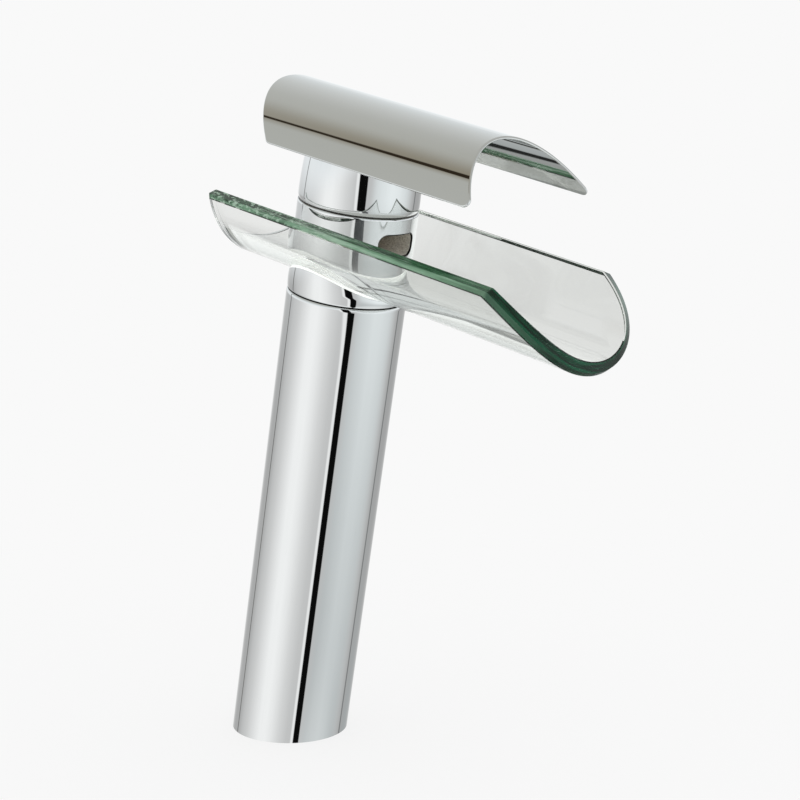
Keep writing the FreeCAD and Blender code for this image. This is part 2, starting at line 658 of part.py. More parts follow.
# ---------------------------------------------------------------- write the pieces
save("column", column())
save("stud_bridge", stud_bridge())
save("base_gasket", base_gasket())
save_leaned("glass_collar", glass_collar())
save_leaned("lower_glass_pad", saddle_pad(GLASS_OUT_R))
save_leaned("glass_spout", glass_spout())
save_leaned("upper_glass_pad", saddle_pad(GLASS_IN_R - PAD_T))
save_leaned("neck_sleeve", neck_sleeve())
save_leaned("valve_housing", valve_housing())
save_leaned("neck_washer", neck_washer())
save_leaned("neck_nut", neck_nut())
save_leaned("cartridge_base", cartridge_base())
save_leaned("port_seals", seal_rings(SEAT_Z))
save_leaned("disc_seals", seal_rings(BASE_TOP - SEAL_H))
save_leaned("fixed_disc", fixed_disc())
save_leaned("moving_disc", moving_disc())
save_leaned("disc_carrier", disc_carrier())
save_leaned("cartridge_case", cartridge_case())
save_leaned("lever_guide", lever_guide())
save_leaned("lever_pin", lever_pin())
save_leaned("lever_stem", lever_stem())
save_leaned("retaining_nut", retaining_nut())
save_leaned("bonnet_o_ring", bonnet_o_ring())
save_leaned("bonnet", bonnet())
save_leaned("handle_boss", handle_boss())
save_leaned("handle_plate", handle_plate())
save_leaned("grub_screw", grub_screw())
save_leaned("screw_plug", screw_plug())
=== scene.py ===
# %% [markdown]
# # A leaning basin faucet with a glass spout
#
# This file dresses a faucet that was drawn as solids. The solids give every place and size, so each
# cell takes one piece of the real thing, says what it is, and makes what the eye sees of it:
# polished chrome, bent glass with green edges, raw metal inside the outlet, rubber, plastic and
# brass.

# %% Load the solids
import json
import math

import bmesh
import bpy
from mathutils import Matrix, Vector

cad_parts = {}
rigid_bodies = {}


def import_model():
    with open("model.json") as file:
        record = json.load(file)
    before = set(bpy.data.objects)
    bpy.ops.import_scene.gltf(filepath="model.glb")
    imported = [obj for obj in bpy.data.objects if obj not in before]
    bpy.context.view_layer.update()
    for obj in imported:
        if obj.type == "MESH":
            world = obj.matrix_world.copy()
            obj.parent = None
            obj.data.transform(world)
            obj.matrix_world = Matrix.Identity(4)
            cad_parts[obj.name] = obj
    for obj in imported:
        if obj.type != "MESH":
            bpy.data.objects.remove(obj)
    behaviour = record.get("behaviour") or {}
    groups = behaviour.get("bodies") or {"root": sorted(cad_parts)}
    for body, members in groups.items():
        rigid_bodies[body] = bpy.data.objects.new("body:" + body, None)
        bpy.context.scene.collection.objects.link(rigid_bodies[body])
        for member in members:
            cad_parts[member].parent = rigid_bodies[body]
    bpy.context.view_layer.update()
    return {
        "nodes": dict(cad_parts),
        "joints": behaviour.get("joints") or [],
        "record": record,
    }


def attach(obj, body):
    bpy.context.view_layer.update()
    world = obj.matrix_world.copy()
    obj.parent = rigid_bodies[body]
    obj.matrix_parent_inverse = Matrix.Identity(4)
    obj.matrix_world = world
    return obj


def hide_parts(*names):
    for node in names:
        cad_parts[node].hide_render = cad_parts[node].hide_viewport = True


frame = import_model()

# %% [markdown]
# ## The body axis
#
# The column leans towards the basin, and nearly every piece is turned about that leaning axis. The
# lever's swing joint lies on it, so the axis is read from the joint and not typed in. Pieces are
# drawn upright in millimetres and one matrix puts them in place, which keeps the numbers easy to
# check.

# %% Axis and scale
MM = 0.001
swing = next(joint for joint in frame["joints"] if joint["name"] == "lever_swing")
body_axis = Vector(swing["axis"]).normalized()
LEAN = math.atan2(body_axis.x, body_axis.z)
upright_to_place = Matrix.Rotation(LEAN, 4, "Y") @ Matrix.Scale(MM, 4)
print("lean:", round(math.degrees(LEAN), 2), "degrees")

# %% [markdown]
# ## Shared sizes
#
# These sizes show on more than one piece: the body's radius, the heights of the two joint lines,
# the trough of glass and the hole in it. They are written once, in millimetres, and the pieces
# below are worked out from them. A shape drawn here stays a hair inside its solid, so that the
# dressed faucet is never larger than the drawn one.

# %% Shared sizes in millimetres
BODY_R = 25.0
JOINT_ROUND = 1.0
COLUMN_TOP = 199.0
HOUSING_TOP = 236.8
NECK_HOLE_R = 18.0
GLASS_AXIS = 244.2
GLASS_IN_R = 35.0
GLASS_T = 6.0
JUST_INSIDE = 0.002
print("body:", 2 * BODY_R, "mm wide, joints at", COLUMN_TOP, "and", HOUSING_TOP, "mm")

# %% [markdown]
# ## The camera
#
# The photograph was taken from in front of the faucet's left side, a little above it, with a long
# lens. A camera is two things: a place and a direction, which a matrix holds, and a lens. The
# angles are named, and the matrix is built from three directions: to the right, up, and back to the
# camera.

# %% Place the camera
VIEW_AZIMUTH = math.radians(42.63)
VIEW_HEIGHT = math.radians(10.59)
VIEW_DISTANCE = 0.88284
FOCAL_PIXELS = 2063.1
PICTURE_SIDE = 800
SENSOR = 36.0
AIM = Vector((0.0, 0.0, 0.170))
AIM_SHIFT = (0.04874, -0.02379)

to_right = Vector((math.cos(VIEW_AZIMUTH), math.sin(VIEW_AZIMUTH), 0.0))
to_camera = Vector((math.sin(VIEW_AZIMUTH) * math.cos(VIEW_HEIGHT),
                    -math.cos(VIEW_AZIMUTH) * math.cos(VIEW_HEIGHT), math.sin(VIEW_HEIGHT)))
to_top = to_camera.cross(to_right)
flat_to_camera = Vector((to_camera.x, to_camera.y, 0.0)).normalized()
eye = AIM + VIEW_DISTANCE * to_camera + AIM_SHIFT[0] * to_right + AIM_SHIFT[1] * to_top
facing = Matrix((to_right, to_top, to_camera)).transposed().to_4x4()

camera = bpy.data.objects.new("camera", bpy.data.cameras.new("camera"))
camera.data.sensor_width = SENSOR
camera.data.lens = FOCAL_PIXELS / PICTURE_SIDE * SENSOR
camera.matrix_world = Matrix.Translation(eye) @ facing
bpy.context.scene.collection.objects.link(camera)
bpy.context.scene.camera = camera
bpy.context.scene.view_settings.view_transform = "Standard"
print("lens:", round(camera.data.lens, 1), "mm")

# %% [markdown]
# ## Node trees as expressions
#
# Materials, the world and Geometry Nodes are all graphs, and sums done with nodes are hard to read.
# This small class wraps one socket, and its operators add the Math nodes, so `1 - mask * 0.5` is a
# line of Python. Its other methods are the soft masks that nearly every finish needs.

# %% A socket that does arithmetic
class Value:
    """One output socket of a node tree, with arithmetic."""

    def __init__(self, graph, socket):
        self.graph = graph
        self.socket = socket

    def __add__(self, other):
        return self.graph.math("ADD", self, other)

    def __sub__(self, other):
        return self.graph.math("SUBTRACT", self, other)

    def __rsub__(self, other):
        return self.graph.math("SUBTRACT", other, self)

    def __mul__(self, other):
        return self.graph.math("MULTIPLY", self, other)

    def __truediv__(self, other):
        return self.graph.math("DIVIDE", self, other)

    def __abs__(self):
        return self.graph.math("ABSOLUTE", self)

    __radd__ = __add__
    __rmul__ = __mul__

    def at_least(self, other):
        """The larger of the value and another."""
        return self.graph.math("MAXIMUM", self, other)

    def rise(self, low, high, start=0.0, end=1.0):
        """Goes smoothly from start to end while the value goes from low to high."""
        return self.graph.node("ShaderNodeMapRange", {"interpolation_type": "SMOOTHSTEP"},
                               {"Value": self, "From Min": low, "From Max": high,
                                "To Min": start, "To Max": end})

    def band(self, half_width, soft):
        """1 where the value is near 0, falling to 0 outside the half width."""
        return 1 - abs(self).rise(half_width - soft, half_width + soft)

    def sibling(self, name):
        """Another output of the same node."""
        return Value(self.graph, self.socket.node.outputs[name])


print("sockets can: + - * / abs, at_least, rise, band")

# %% [markdown]
# ## Making nodes
#
# A node is made the same way every time: its own settings first, such as a ramp's stops, because
# they can change its sockets, and then the values or links of its inputs. One method does that for
# every kind of node, and a few short ones name the kinds that come up often.

# %% A node tree that is filled by method calls
MIX_COLOURS = (6, 7)
MIX_RESULT = 2


class Graph:
    """A node tree of a material, of the world or of Geometry Nodes."""

    def __init__(self, tree):
        self.tree = tree
        tree.nodes.clear()

    def node(self, kind, settings=None, sockets=None, out=0):
        """Adds a node and gives back one of its outputs."""
        made = self.tree.nodes.new(kind)
        for key, setting in (settings or {}).items():
            if key == "stops":
                self.fill_ramp(made.color_ramp, setting)
            else:
                setattr(made, key, setting)
        for key, value in (sockets or {}).items():
            self.plug(made.inputs[key], value)
        return Value(self, made.outputs[out]) if made.outputs else None

    def plug(self, socket, value):
        """Links a socket, or sets it; a colour of three numbers gets its alpha."""
        if isinstance(value, Value):
            self.tree.links.new(value.socket, socket)
        elif hasattr(socket, "default_value") and socket.type == "RGBA" and len(value) == 3:
            socket.default_value = (*value, 1.0)
        else:
            socket.default_value = value

    def fill_ramp(self, ramp, stops):
        """Gives a colour ramp its places and colours."""
        while len(ramp.elements) < len(stops):
            ramp.elements.new(1.0)
        for element, (place, colour) in zip(ramp.elements, stops):
            element.position = place
            element.color = (*colour, 1.0)

    def math(self, operation, *values):
        """One Math node."""
        return self.node("ShaderNodeMath", {"operation": operation}, dict(enumerate(values)))

    def blend(self, factor, first, second, way="MIX"):
        """Mixes two colours."""
        return self.node("ShaderNodeMix", {"data_type": "RGBA", "blend_type": way},
                         {0: factor, MIX_COLOURS[0]: first, MIX_COLOURS[1]: second}, MIX_RESULT)

    def along(self, vector, direction):
        """How far a vector reaches in a direction."""
        return self.node("ShaderNodeVectorMath", {"operation": "DOT_PRODUCT"},
                         {0: vector, 1: tuple(direction)}, "Value")

    def split(self, vector):
        """The three numbers of a vector."""
        parts = self.node("ShaderNodeSeparateXYZ", {}, {0: vector}, "X")
        return parts, parts.sibling("Y"), parts.sibling("Z")

    def join(self, x, y, z):
        """A vector of three numbers."""
        return self.node("ShaderNodeCombineXYZ", {}, {0: x, 1: y, 2: z})

    def colour(self, red, green, blue):
        """A colour of three numbers."""
        return self.node("ShaderNodeCombineColor", {}, {0: red, 1: green, 2: blue})

    def length(self, first, second):
        """The length of a line that reaches that far in two square directions."""
        return self.math("SQRT", first * first + second * second)


print("node trees ready")

# %% [markdown]
# ## The studio
#
# Chrome has no colour of its own: it shows the room. The room here is a white tent over a table,
# with a lamp behind the cloth on either side, a dark slit beside the camera, and a thin dark seam
# on either side where two cloths meet. Cards of mesh could make all of it. A world that depends on
# direction alone is simpler, and it stays put when the camera moves round the faucet.

# %% Where a ray goes
IN_DEGREES = 180 / math.pi

world = bpy.data.worlds.new("studio")
bpy.context.scene.world = world
world.use_nodes = True
sky = Graph(world.node_tree)
ray = sky.node("ShaderNodeTexCoord", out="Generated")
ahead = sky.along(ray, flat_to_camera)
turn = sky.math("ARCTAN2", sky.along(ray, to_right), ahead) * IN_DEGREES
height = sky.math("ARCSINE", sky.along(ray, (0, 0, 1))) * IN_DEGREES
print("a ray is known by its turn from the camera and its height over the horizon")

# %% [markdown]
# ### Walls and ceiling
#
# The tent's cloth is bright where a lamp shines through and dull between the lamps. Two lists hold
# that: brightness for the turn round the faucet, and colour for the height overhead. A colour ramp
# reads each list, which takes one node where masks would take dozens.

# %% The light plan: turn from the camera or height in degrees, and brightness
WALL_PLAN = [(-180, 1.00), (-168, 0.86), (-158, 0.62), (-148, 0.50), (-138, 0.47), (-124, 0.49),
             (-112, 0.62), (-98, 0.72), (-83, 0.88), (-67, 1.05), (-54, 1.06), (-42, 0.97),
             (-26, 0.79), (-10, 0.665), (8, 0.62), (20, 0.60), (42, 0.72), (62, 0.80),
             (78, 0.77), (94, 0.69), (110, 0.60), (122, 0.50), (134, 0.43), (148, 0.44),
             (160, 0.50), (171, 0.66), (180, 1.00)]
CEILING_PLAN = [(0, (0.98, 1.01, 1.03)), (12, (0.87, 0.905, 0.92)), (22, (0.75, 0.785, 0.795)),
                (32, (0.68, 0.70, 0.695)), (42, (0.61, 0.62, 0.605)), (51, (0.54, 0.545, 0.52)),
                (60, (0.495, 0.495, 0.46)), (75, (0.46, 0.455, 0.42)), (90, (0.43, 0.42, 0.385))]

wall_stops = [((t + 180) / 360, (b, b, b)) for t, b in WALL_PLAN]
ceiling_stops = [(h / 90, colour) for h, colour in CEILING_PLAN]
walls = sky.node("ShaderNodeValToRGB", {"stops": wall_stops}, {"Fac": turn / 360 + 0.5})
ceiling = sky.node("ShaderNodeValToRGB", {"stops": ceiling_stops}, {"Fac": height / 90})
print("light plan:", len(WALL_PLAN), "stops round,", len(CEILING_PLAN), "stops up")

# %% [markdown]
# ### The soft box on the right
#
# The lamp on the right is larger and a little bluer than the one on the left, and it weakens
# towards the table. It lights the cloth that is there already, so it multiplies the wall and
# doesn't cover it.

# %% Right soft box, then walls below and ceiling above
BOX_BEGINS = (14, 34)
BOX_ENDS = (125, 95)
BOX_FOOT = (-37, -17)
BOX_LOW, BOX_HIGH = 0.89, 1.265
BOX_RED, BOX_BLUE = 0.955, 1.01
HORIZON = (-8, 6)

in_box = turn.rise(*BOX_BEGINS) * turn.rise(*BOX_ENDS)
strength = height.rise(*BOX_FOOT, BOX_LOW, BOX_HIGH)
box_light = sky.colour(strength * BOX_RED, strength, strength * BOX_BLUE)
walls = sky.blend(in_box, walls, sky.blend(1.0, walls, box_light, "MULTIPLY"))
room = sky.blend(height.rise(*HORIZON), walls, ceiling)
print("soft box from", BOX_BEGINS[0], "to", BOX_ENDS[0], "degrees")

# %% [markdown]
# ### The table
#
# Below the horizon the room is a table. In front of the faucet it is white paper in full light.
# Behind the faucet it falls into shade, and the paper's edge crosses it as a dark line, which shows
# in the glass and under the handle. Masks of turn and height are enough to draw all three.

# %% Table in front and behind, and the paper's dark edge
BEHIND = (120, 150)
FRONT_PAPER_FROM = (-34, -44)
FRONT_PAPER_SHARE = 0.8
FRONT_PAPER = (0.95, 0.97, 0.97)
TABLE_FROM = (-19, -28)
TABLE_DEEPENS = (-30, -46)
TABLE_FAR = (0.43, 0.455, 0.46)
TABLE_NEAR = (0.33, 0.335, 0.32)
EDGE_HEIGHT = 36.4
EDGE_HALF, EDGE_SOFT = 1.7, 0.5
EDGE_SIDES = (125, 145)
EDGE_BLACK = (0.008, 0.009, 0.008)
EDGE_SHARE = 0.97

behind = abs(turn).rise(*BEHIND)
in_front = height.rise(*FRONT_PAPER_FROM, 0.0, FRONT_PAPER_SHARE) * (1 - behind)
room = sky.blend(in_front, room, FRONT_PAPER)
table = sky.blend(height.rise(*TABLE_DEEPENS), TABLE_FAR, TABLE_NEAR)
room = sky.blend(behind * height.rise(*TABLE_FROM), room, table)
paper_edge = (height + EDGE_HEIGHT).band(EDGE_HALF, EDGE_SOFT) * abs(turn).rise(*EDGE_SIDES)
room = sky.blend(paper_edge * EDGE_SHARE, room, EDGE_BLACK)
print("paper's edge:", EDGE_HEIGHT, "degrees below the horizon")

# %% [markdown]
# ### The left seam
#
# Two cloths meet at a seam that runs slanting, so neither a turn nor a height alone can draw it.
# Two directions on the seam span a plane through the faucet, and how far a ray reaches out of that
# plane says how near the seam it is. The cloth is duller on one side and gathers in warm folds on
# the other.

# %% Seams between cloths, and the left one
def direction(turn_deg, height_deg):
    """A direction by its turn from the camera, to the right, and its height over the horizon."""
    turn_by, up_by = math.radians(turn_deg), math.radians(height_deg)
    flat = math.sin(turn_by) * to_right + math.cos(turn_by) * flat_to_camera
    return math.cos(up_by) * flat + Vector((0, 0, math.sin(up_by)))


def out_of_seam(first, second):
    """How far a ray reaches out of the plane in which two directions lie."""
    return sky.along(ray, first.cross(second).normalized())


def same_side(middle):
    """1 for rays on the same side of the room as a direction."""
    return sky.along(ray, middle).rise(0.0, 0.2)


LEFT_LOW = direction(-127, -10)
LEFT_MIDDLE = direction(-120, 23)
LEFT_HIGH = direction(-113, 56)
OVERHEAD = (15, 40)
DULL_SIDE = (-0.06, 0.0)
DULL_CLOTH, DULL_SHARE = (0.50, 0.505, 0.475), 0.9
FOLDS_BEGIN, FOLDS_END = (-0.10, 0.0), (0.0, 0.34)
FOLD_SHADE = (0.24, 0.20, 0.13)
FOLDS_DEEPEN, FOLD_SHARES = (52, 60), (0.56, 0.74)

past_left = out_of_seam(LEFT_LOW, LEFT_HIGH)
left_cloth = same_side(LEFT_MIDDLE)
overhead = height.rise(*OVERHEAD)
dull = (1 - past_left.rise(*DULL_SIDE)) * left_cloth * overhead
folds = (1 - past_left.rise(*FOLDS_END)) * past_left.rise(*FOLDS_BEGIN) * left_cloth * overhead
fold_share = height.rise(*FOLDS_DEEPEN, *FOLD_SHARES)
print("the left seam runs over", round(math.degrees(LEFT_LOW.angle(LEFT_HIGH))), "degrees of arc")

# %% A dull patch, the dull cloth, its folds and the left seam over them
PATCH_MIDDLE = direction(112, 32.5)
PATCH_COSINES = (0.955, 0.985)
PATCH_SHADE, PATCH_SHARE = (0.42, 0.42, 0.40), 0.75
SEAM_SHADE = (0.022, 0.014, 0.007)
SEAM_HALF, SEAM_SOFT = 0.016, 0.008
SEAM_WIDER_LOW = (-5, 30, 0.010, 0.0)
SEAM_WIDER_HIGH = (54, 61, 0.0, 0.014)
SEAM_SHARES = (-5, 40, 0.62, 0.97)

patch = sky.along(ray, PATCH_MIDDLE).rise(*PATCH_COSINES)
room = sky.blend(patch * PATCH_SHARE, room, PATCH_SHADE)
room = sky.blend(dull * DULL_SHARE, room, DULL_CLOTH)
room = sky.blend(folds * fold_share, room, FOLD_SHADE)
seam_half = SEAM_HALF + height.rise(*SEAM_WIDER_LOW) + height.rise(*SEAM_WIDER_HIGH)
left_seam = past_left.band(seam_half, SEAM_SOFT) * left_cloth
room = sky.blend(left_seam * height.rise(*SEAM_SHARES), room, SEAM_SHADE)
print("left seam:", round(math.degrees(2 * SEAM_HALF), 1), "degrees wide in the middle")

# %% [markdown]
# ### The right seam and the slit
#
# The slit beside the camera is the blackest thing in the room and draws the dark stripe down the
# column. Light that spills past its edge draws the bright line next to the stripe. The slit steps
# aside and narrows where the tent meets the table, so its place and its width both follow the
# height.

# %% Right seam, slit and the bright edge of the slit
SLIT_STEP = (-24.5, -20)
SLIT_LOW_TURN, SLIT_HIGH_TURN = 12, 4
SLIT_HALF, SLIT_SOFT = 6.2, 0.8
SLIT_WIDENS = (-24, -19)
SLIT_WIDER = 1.7
SLIT_TOP = (40, 20)
SLIT_BLACK = (0.004, 0.004, 0.004)
GLOW_AWAY = 8.9
GLOW_HALF, GLOW_SOFT = 2.8, 1.6
GLOW_TOP = (30, 10)
GLOW_WHITE, GLOW_SHARE = (1.0, 1.0, 1.0), 0.92
RIGHT_LOW = direction(127, -24)
RIGHT_MIDDLE = direction(128, -18)
RIGHT_HIGH = direction(129, -12)
RIGHT_SEAM_HALF = 0.034
RIGHT_SEAM_SHADE, RIGHT_SEAM_SHARE = (0.10, 0.105, 0.105), 0.62

past_right = out_of_seam(RIGHT_LOW, RIGHT_HIGH)
right_seam = past_right.band(RIGHT_SEAM_HALF, SEAM_SOFT) * same_side(RIGHT_MIDDLE)
slit_turn = turn - height.rise(*SLIT_STEP, SLIT_LOW_TURN, SLIT_HIGH_TURN)
wider = height.rise(*SLIT_WIDENS, 0.0, SLIT_WIDER)
slit = slit_turn.band(wider + SLIT_HALF, SLIT_SOFT) * height.rise(*SLIT_TOP)
glow = (slit_turn + wider + GLOW_AWAY).band(GLOW_HALF, GLOW_SOFT) * height.rise(*GLOW_TOP)
room = sky.blend(glow * GLOW_SHARE, room, GLOW_WHITE)
room = sky.blend(right_seam * RIGHT_SEAM_SHARE, room, RIGHT_SEAM_SHADE)
room = sky.blend(slit, room, SLIT_BLACK)
print("slit:", 2 * SLIT_HALF, "degrees wide at the foot")

# %% [markdown]
# ### Which ray sees what
#
# One world serves four kinds of ray. A ray straight from the camera sees plain paper, so the
# background stays even. One that a mirror turned sees the studio. One that went through the glass
# sees the paper behind it, and one that was also turned on its way sees a brighter tent over a grey
# table. Soft light on dull surfaces is even. The Light Path node tells them apart.

# %% Sort the rays
PAPER = (0.947, 0.947, 0.947)
THROUGH_GLASS = (0.86, 0.862, 0.855)
BENT_TENT = (1.13, 1.14, 1.13)
BENT_TABLE = (0.50, 0.51, 0.485)
BENT_HORIZON = (-34, -36)
BENT_EDGE_SHARE = 0.6
THROUGH_FROM = (-30, -40)
SKY_LIGHT = 0.96

is_camera = sky.node("ShaderNodeLightPath", out="Is Camera Ray")
passed = is_camera.sibling("Is Transmission Ray")
turned = is_camera.sibling("Glossy Depth").rise(0.0, 1.0)
soft_light = height.rise(-90, 90, SKY_LIGHT * 0.8, SKY_LIGHT)
bent = sky.blend(height.rise(*BENT_HORIZON), BENT_TENT, BENT_TABLE)
bent = sky.blend(paper_edge * BENT_EDGE_SHARE, bent, EDGE_BLACK)
through_glass = sky.blend(turned, THROUGH_GLASS, bent)
seen = sky.blend(passed, sky.colour(soft_light, soft_light, soft_light), through_glass)
stays_paper = passed * behind.at_least(height.rise(*THROUGH_FROM))
seen = sky.blend(turned * is_camera.sibling("Is Glossy Ray") * (1 - stays_paper), seen, room)
seen = sky.blend(is_camera, seen, PAPER)
backdrop = sky.node("ShaderNodeBackground", {}, {"Color": seen, "Strength": 1.0})
sky.node("ShaderNodeOutputWorld", {}, {"Surface": backdrop})
print("studio:", len(world.node_tree.nodes), "nodes")

# %% [markdown]
# ## The floor
#
# The faucet stands on the same white paper as the background, and only a breath of shade gathers at
# its foot. The floor is a disc whose middle takes light and shade as paper does. Towards its edge
# it fades to the background's own colour, so no horizon shows. The chrome doesn't see the disc: its
# reflections come from the studio alone.

# %% Paper floor
FLOOR_R = 0.60
FLOOR_SIDES = 96
SHADE = 0.16
SHADE_ENDS = (0.02, 0.35)
WHITE_FIBRE = (0.99, 0.99, 0.99)

floor_mesh = bpy.data.meshes.new("floor")
disc = bmesh.new()
bmesh.ops.create_circle(disc, cap_ends=True, segments=FLOOR_SIDES, radius=FLOOR_R)
disc.to_mesh(floor_mesh)
disc.free()
floor = bpy.data.objects.new("floor", floor_mesh)
bpy.context.scene.collection.objects.link(floor)
floor.visible_glossy = False
floor.visible_transmission = False

paper = bpy.data.materials.new("paper")
paper.use_nodes = True
sheet = Graph(paper.node_tree)
spot_x, spot_y, _ = sheet.split(sheet.node("ShaderNodeTexCoord", out="Object"))
takes_shade = sheet.length(spot_x, spot_y).rise(*SHADE_ENDS, SHADE, 0.0)
lit = sheet.node("ShaderNodeBsdfDiffuse", {}, {"Color": WHITE_FIBRE})
plain = sheet.node("ShaderNodeEmission", {}, {"Color": PAPER, "Strength": 1.0})
surface = sheet.node("ShaderNodeMixShader", {}, {0: takes_shade, 1: plain, 2: lit})
sheet.node("ShaderNodeOutputMaterial", {}, {"Surface": surface})
floor_mesh.materials.append(paper)
print("floor radius:", FLOOR_R, "m")

# %% [markdown]
# ## Finishes
#
# Every finish starts the same way: a material with one Principled shader and the place of the
# surface in millimetres on the upright body. Constants go straight on the shader's sockets, and
# only what changes over the surface is worked out with nodes.

# %% Start a finish
def finish(name, **constants):
    """A material whose Principled shader has those constants; returns its graph and shader."""
    material = bpy.data.materials.new(name)
    material.use_nodes = True
    graph = Graph(material.node_tree)
    graph.material = material
    shader = graph.node("ShaderNodeBsdfPrincipled")
    for socket, value in constants.items():
        graph.plug(shader.socket.node.inputs[socket.replace("_", " ")], value)
    graph.node("ShaderNodeOutputMaterial", {}, {"Surface": shader})
    return graph, shader.socket.node


def upright(graph, scale=(1.0, 1.0, 1.0)):
    """The surface's place on the upright body, in millimetres, stretched by a scale."""
    place = graph.node("ShaderNodeTexCoord", out="Object")
    stood = graph.node("ShaderNodeVectorRotate", {"rotation_type": "Y_AXIS"},
                       {"Vector": place, "Angle": -LEAN})
    return stretched(graph, stood, [s / MM for s in scale])


def stretched(graph, place, scale):
    """A place with each direction scaled, so that a pattern on it is drawn out."""
    return graph.node("ShaderNodeMapping", {}, {"Vector": place, "Scale": scale})


def noise(graph, place, scale, detail=3.0, roughness=0.55):
    """Cloudy noise between 0 and 1; a small scale makes large clouds."""
    return graph.node("ShaderNodeTexNoise", {}, {"Vector": place, "Scale": scale, "Detail": detail,
                                                 "Roughness": roughness}, "Fac")


def bump(graph, relief, distance_mm, strength=1.0):
    """Tilts the shading as if the surface had that relief."""
    return graph.node("ShaderNodeBump", {}, {"Height": relief, "Distance": distance_mm * MM,
                                             "Strength": strength})


print("a finish starts from one shader and a place in millimetres")

# %% [markdown]
# ## Chrome
#
# Chrome plate is a mirror with a faint blue-grey tint, laid on brass that was polished by hand. The
# hand leaves slow waves far too shallow to feel, which bend the reflections a little, and wiping
# leaves haze that is just rougher than the rest. Both are noise: a slow one for the waves, a fast
# one, stretched along the body, for the haze. Where two pieces meet, a dark hairline of painted
# shade is drawn into the plate's colour, and the hollow of the handle, which no wheel reaches, is
# polished less.

# %% Polished chrome
CHROME = (0.80, 0.815, 0.815)
HANDLE_CHROME = (0.772, 0.782, 0.775)
DULLER = 0.975
POLISHED = 0.022
WAVE_SCALE = 0.022
WAVE_MM = 0.064
HANDLE_WAVE_MM = 0.080
WAVE_STRENGTH = 0.6
HAZE = 0.02
# painted shade: the dark hairline at the joints and on the outlet's lip
PAINTED_SHADE_DARK = (0.012, 0.011, 0.010)
JOINT_ROUGHER = 0.3
JOINT_HALF_MM, JOINT_SOFT_MM = 0.30, 0.12
HANDLE_AXIS = 238.3
HANDLE_INNER_R = 41.3


def joint_shade(graph, place):
    """1 in the hairline of painted shade where two pieces of the body meet."""
    _, _, z = graph.split(place)
    low = (z - COLUMN_TOP).band(JOINT_HALF_MM, JOINT_SOFT_MM)
    high = (z - HOUSING_TOP).band(JOINT_HALF_MM, JOINT_SOFT_MM)
    return low + high


def hand_waves(graph, place):
    """The slow waves that polishing leaves."""
    return noise(graph, place, WAVE_SCALE, 1.0)


def chrome(name, tint, wave_mm=WAVE_MM, inside=0.0):
    """Polished plate; the handle's hollow is rougher by what inside says."""
    graph, shader = finish(name, Metallic=1.0)
    place = upright(graph)
    _, y, z = graph.split(place)
    from_handle_axis = graph.length(y, z - HANDLE_AXIS)
    hollow = from_handle_axis.rise(HANDLE_INNER_R + 0.6, HANDLE_INNER_R + 0.1)
    streaks = noise(graph, upright(graph, (1.0, 1.0, 0.12)), 0.9, 4.0, 0.6)
    cloud = noise(graph, place, 0.05, 2.0)
    hazy = streaks.rise(0.45, 0.8) * cloud.rise(0.4, 0.7)
    # painted shade in the hairline where two pieces meet
    joint_shade_mask = joint_shade(graph, place)
    plated = graph.blend(hazy, tint, tuple(DULLER * level for level in tint))
    rough = POLISHED + hazy * HAZE + joint_shade_mask * JOINT_ROUGHER + hollow * inside
    waves = bump(graph, hand_waves(graph, place), wave_mm, WAVE_STRENGTH)
    graph.plug(shader.inputs["Base Color"], graph.blend(joint_shade_mask, plated, PAINTED_SHADE_DARK))
    graph.plug(shader.inputs["Roughness"], rough)
    graph.plug(shader.inputs["Normal"], waves)
    return graph.material


body_chrome = chrome("polished_chrome", CHROME)
handle_chrome = chrome("polished_handle", HANDLE_CHROME, HANDLE_WAVE_MM, inside=0.02)
print("chrome:", body_chrome.name, handle_chrome.name)

# %% [markdown]
# ## Raw casting inside the outlet
#
# The valve housing is polished outside only. Inside the outlet one sees the casting as it left the
# sand: grainy, dull and brownish, with darker pits. One material does both. A mask made from the
# distance to the body axis says where the polish ends, just inside the outlet's rounded lip. The
# lip gets a dark line of painted shade, which is drawn from the distance to the slot's outline, and
# the joints get the same painted hairline as the rest of the chrome.

# %% Housing: chrome outside, casting inside
POLISH_ENDS_R = 24.25
POLISH_SOFT = 0.12
SLOT_W = 19.2
SLOT_H = 8.8
SLOT_MID = 225.4
SLOT_CORNER_R = 3.4
# place and width of the painted shade on the outlet's lip
LIP_SHADE_FROM_SLOT = 0.22
LIP_SHADE_HALF, LIP_SHADE_SOFT = 0.34, 0.08
FRONT_SIDE = (10.0, 14.0)
CAST_LIGHT = (1.0, 0.96, 0.87)
CAST_DARK = (0.55, 0.51, 0.44)
CAST_ROUGH = 0.62
HOUSING_ROUGH = 0.025
SAND_MM = 0.35


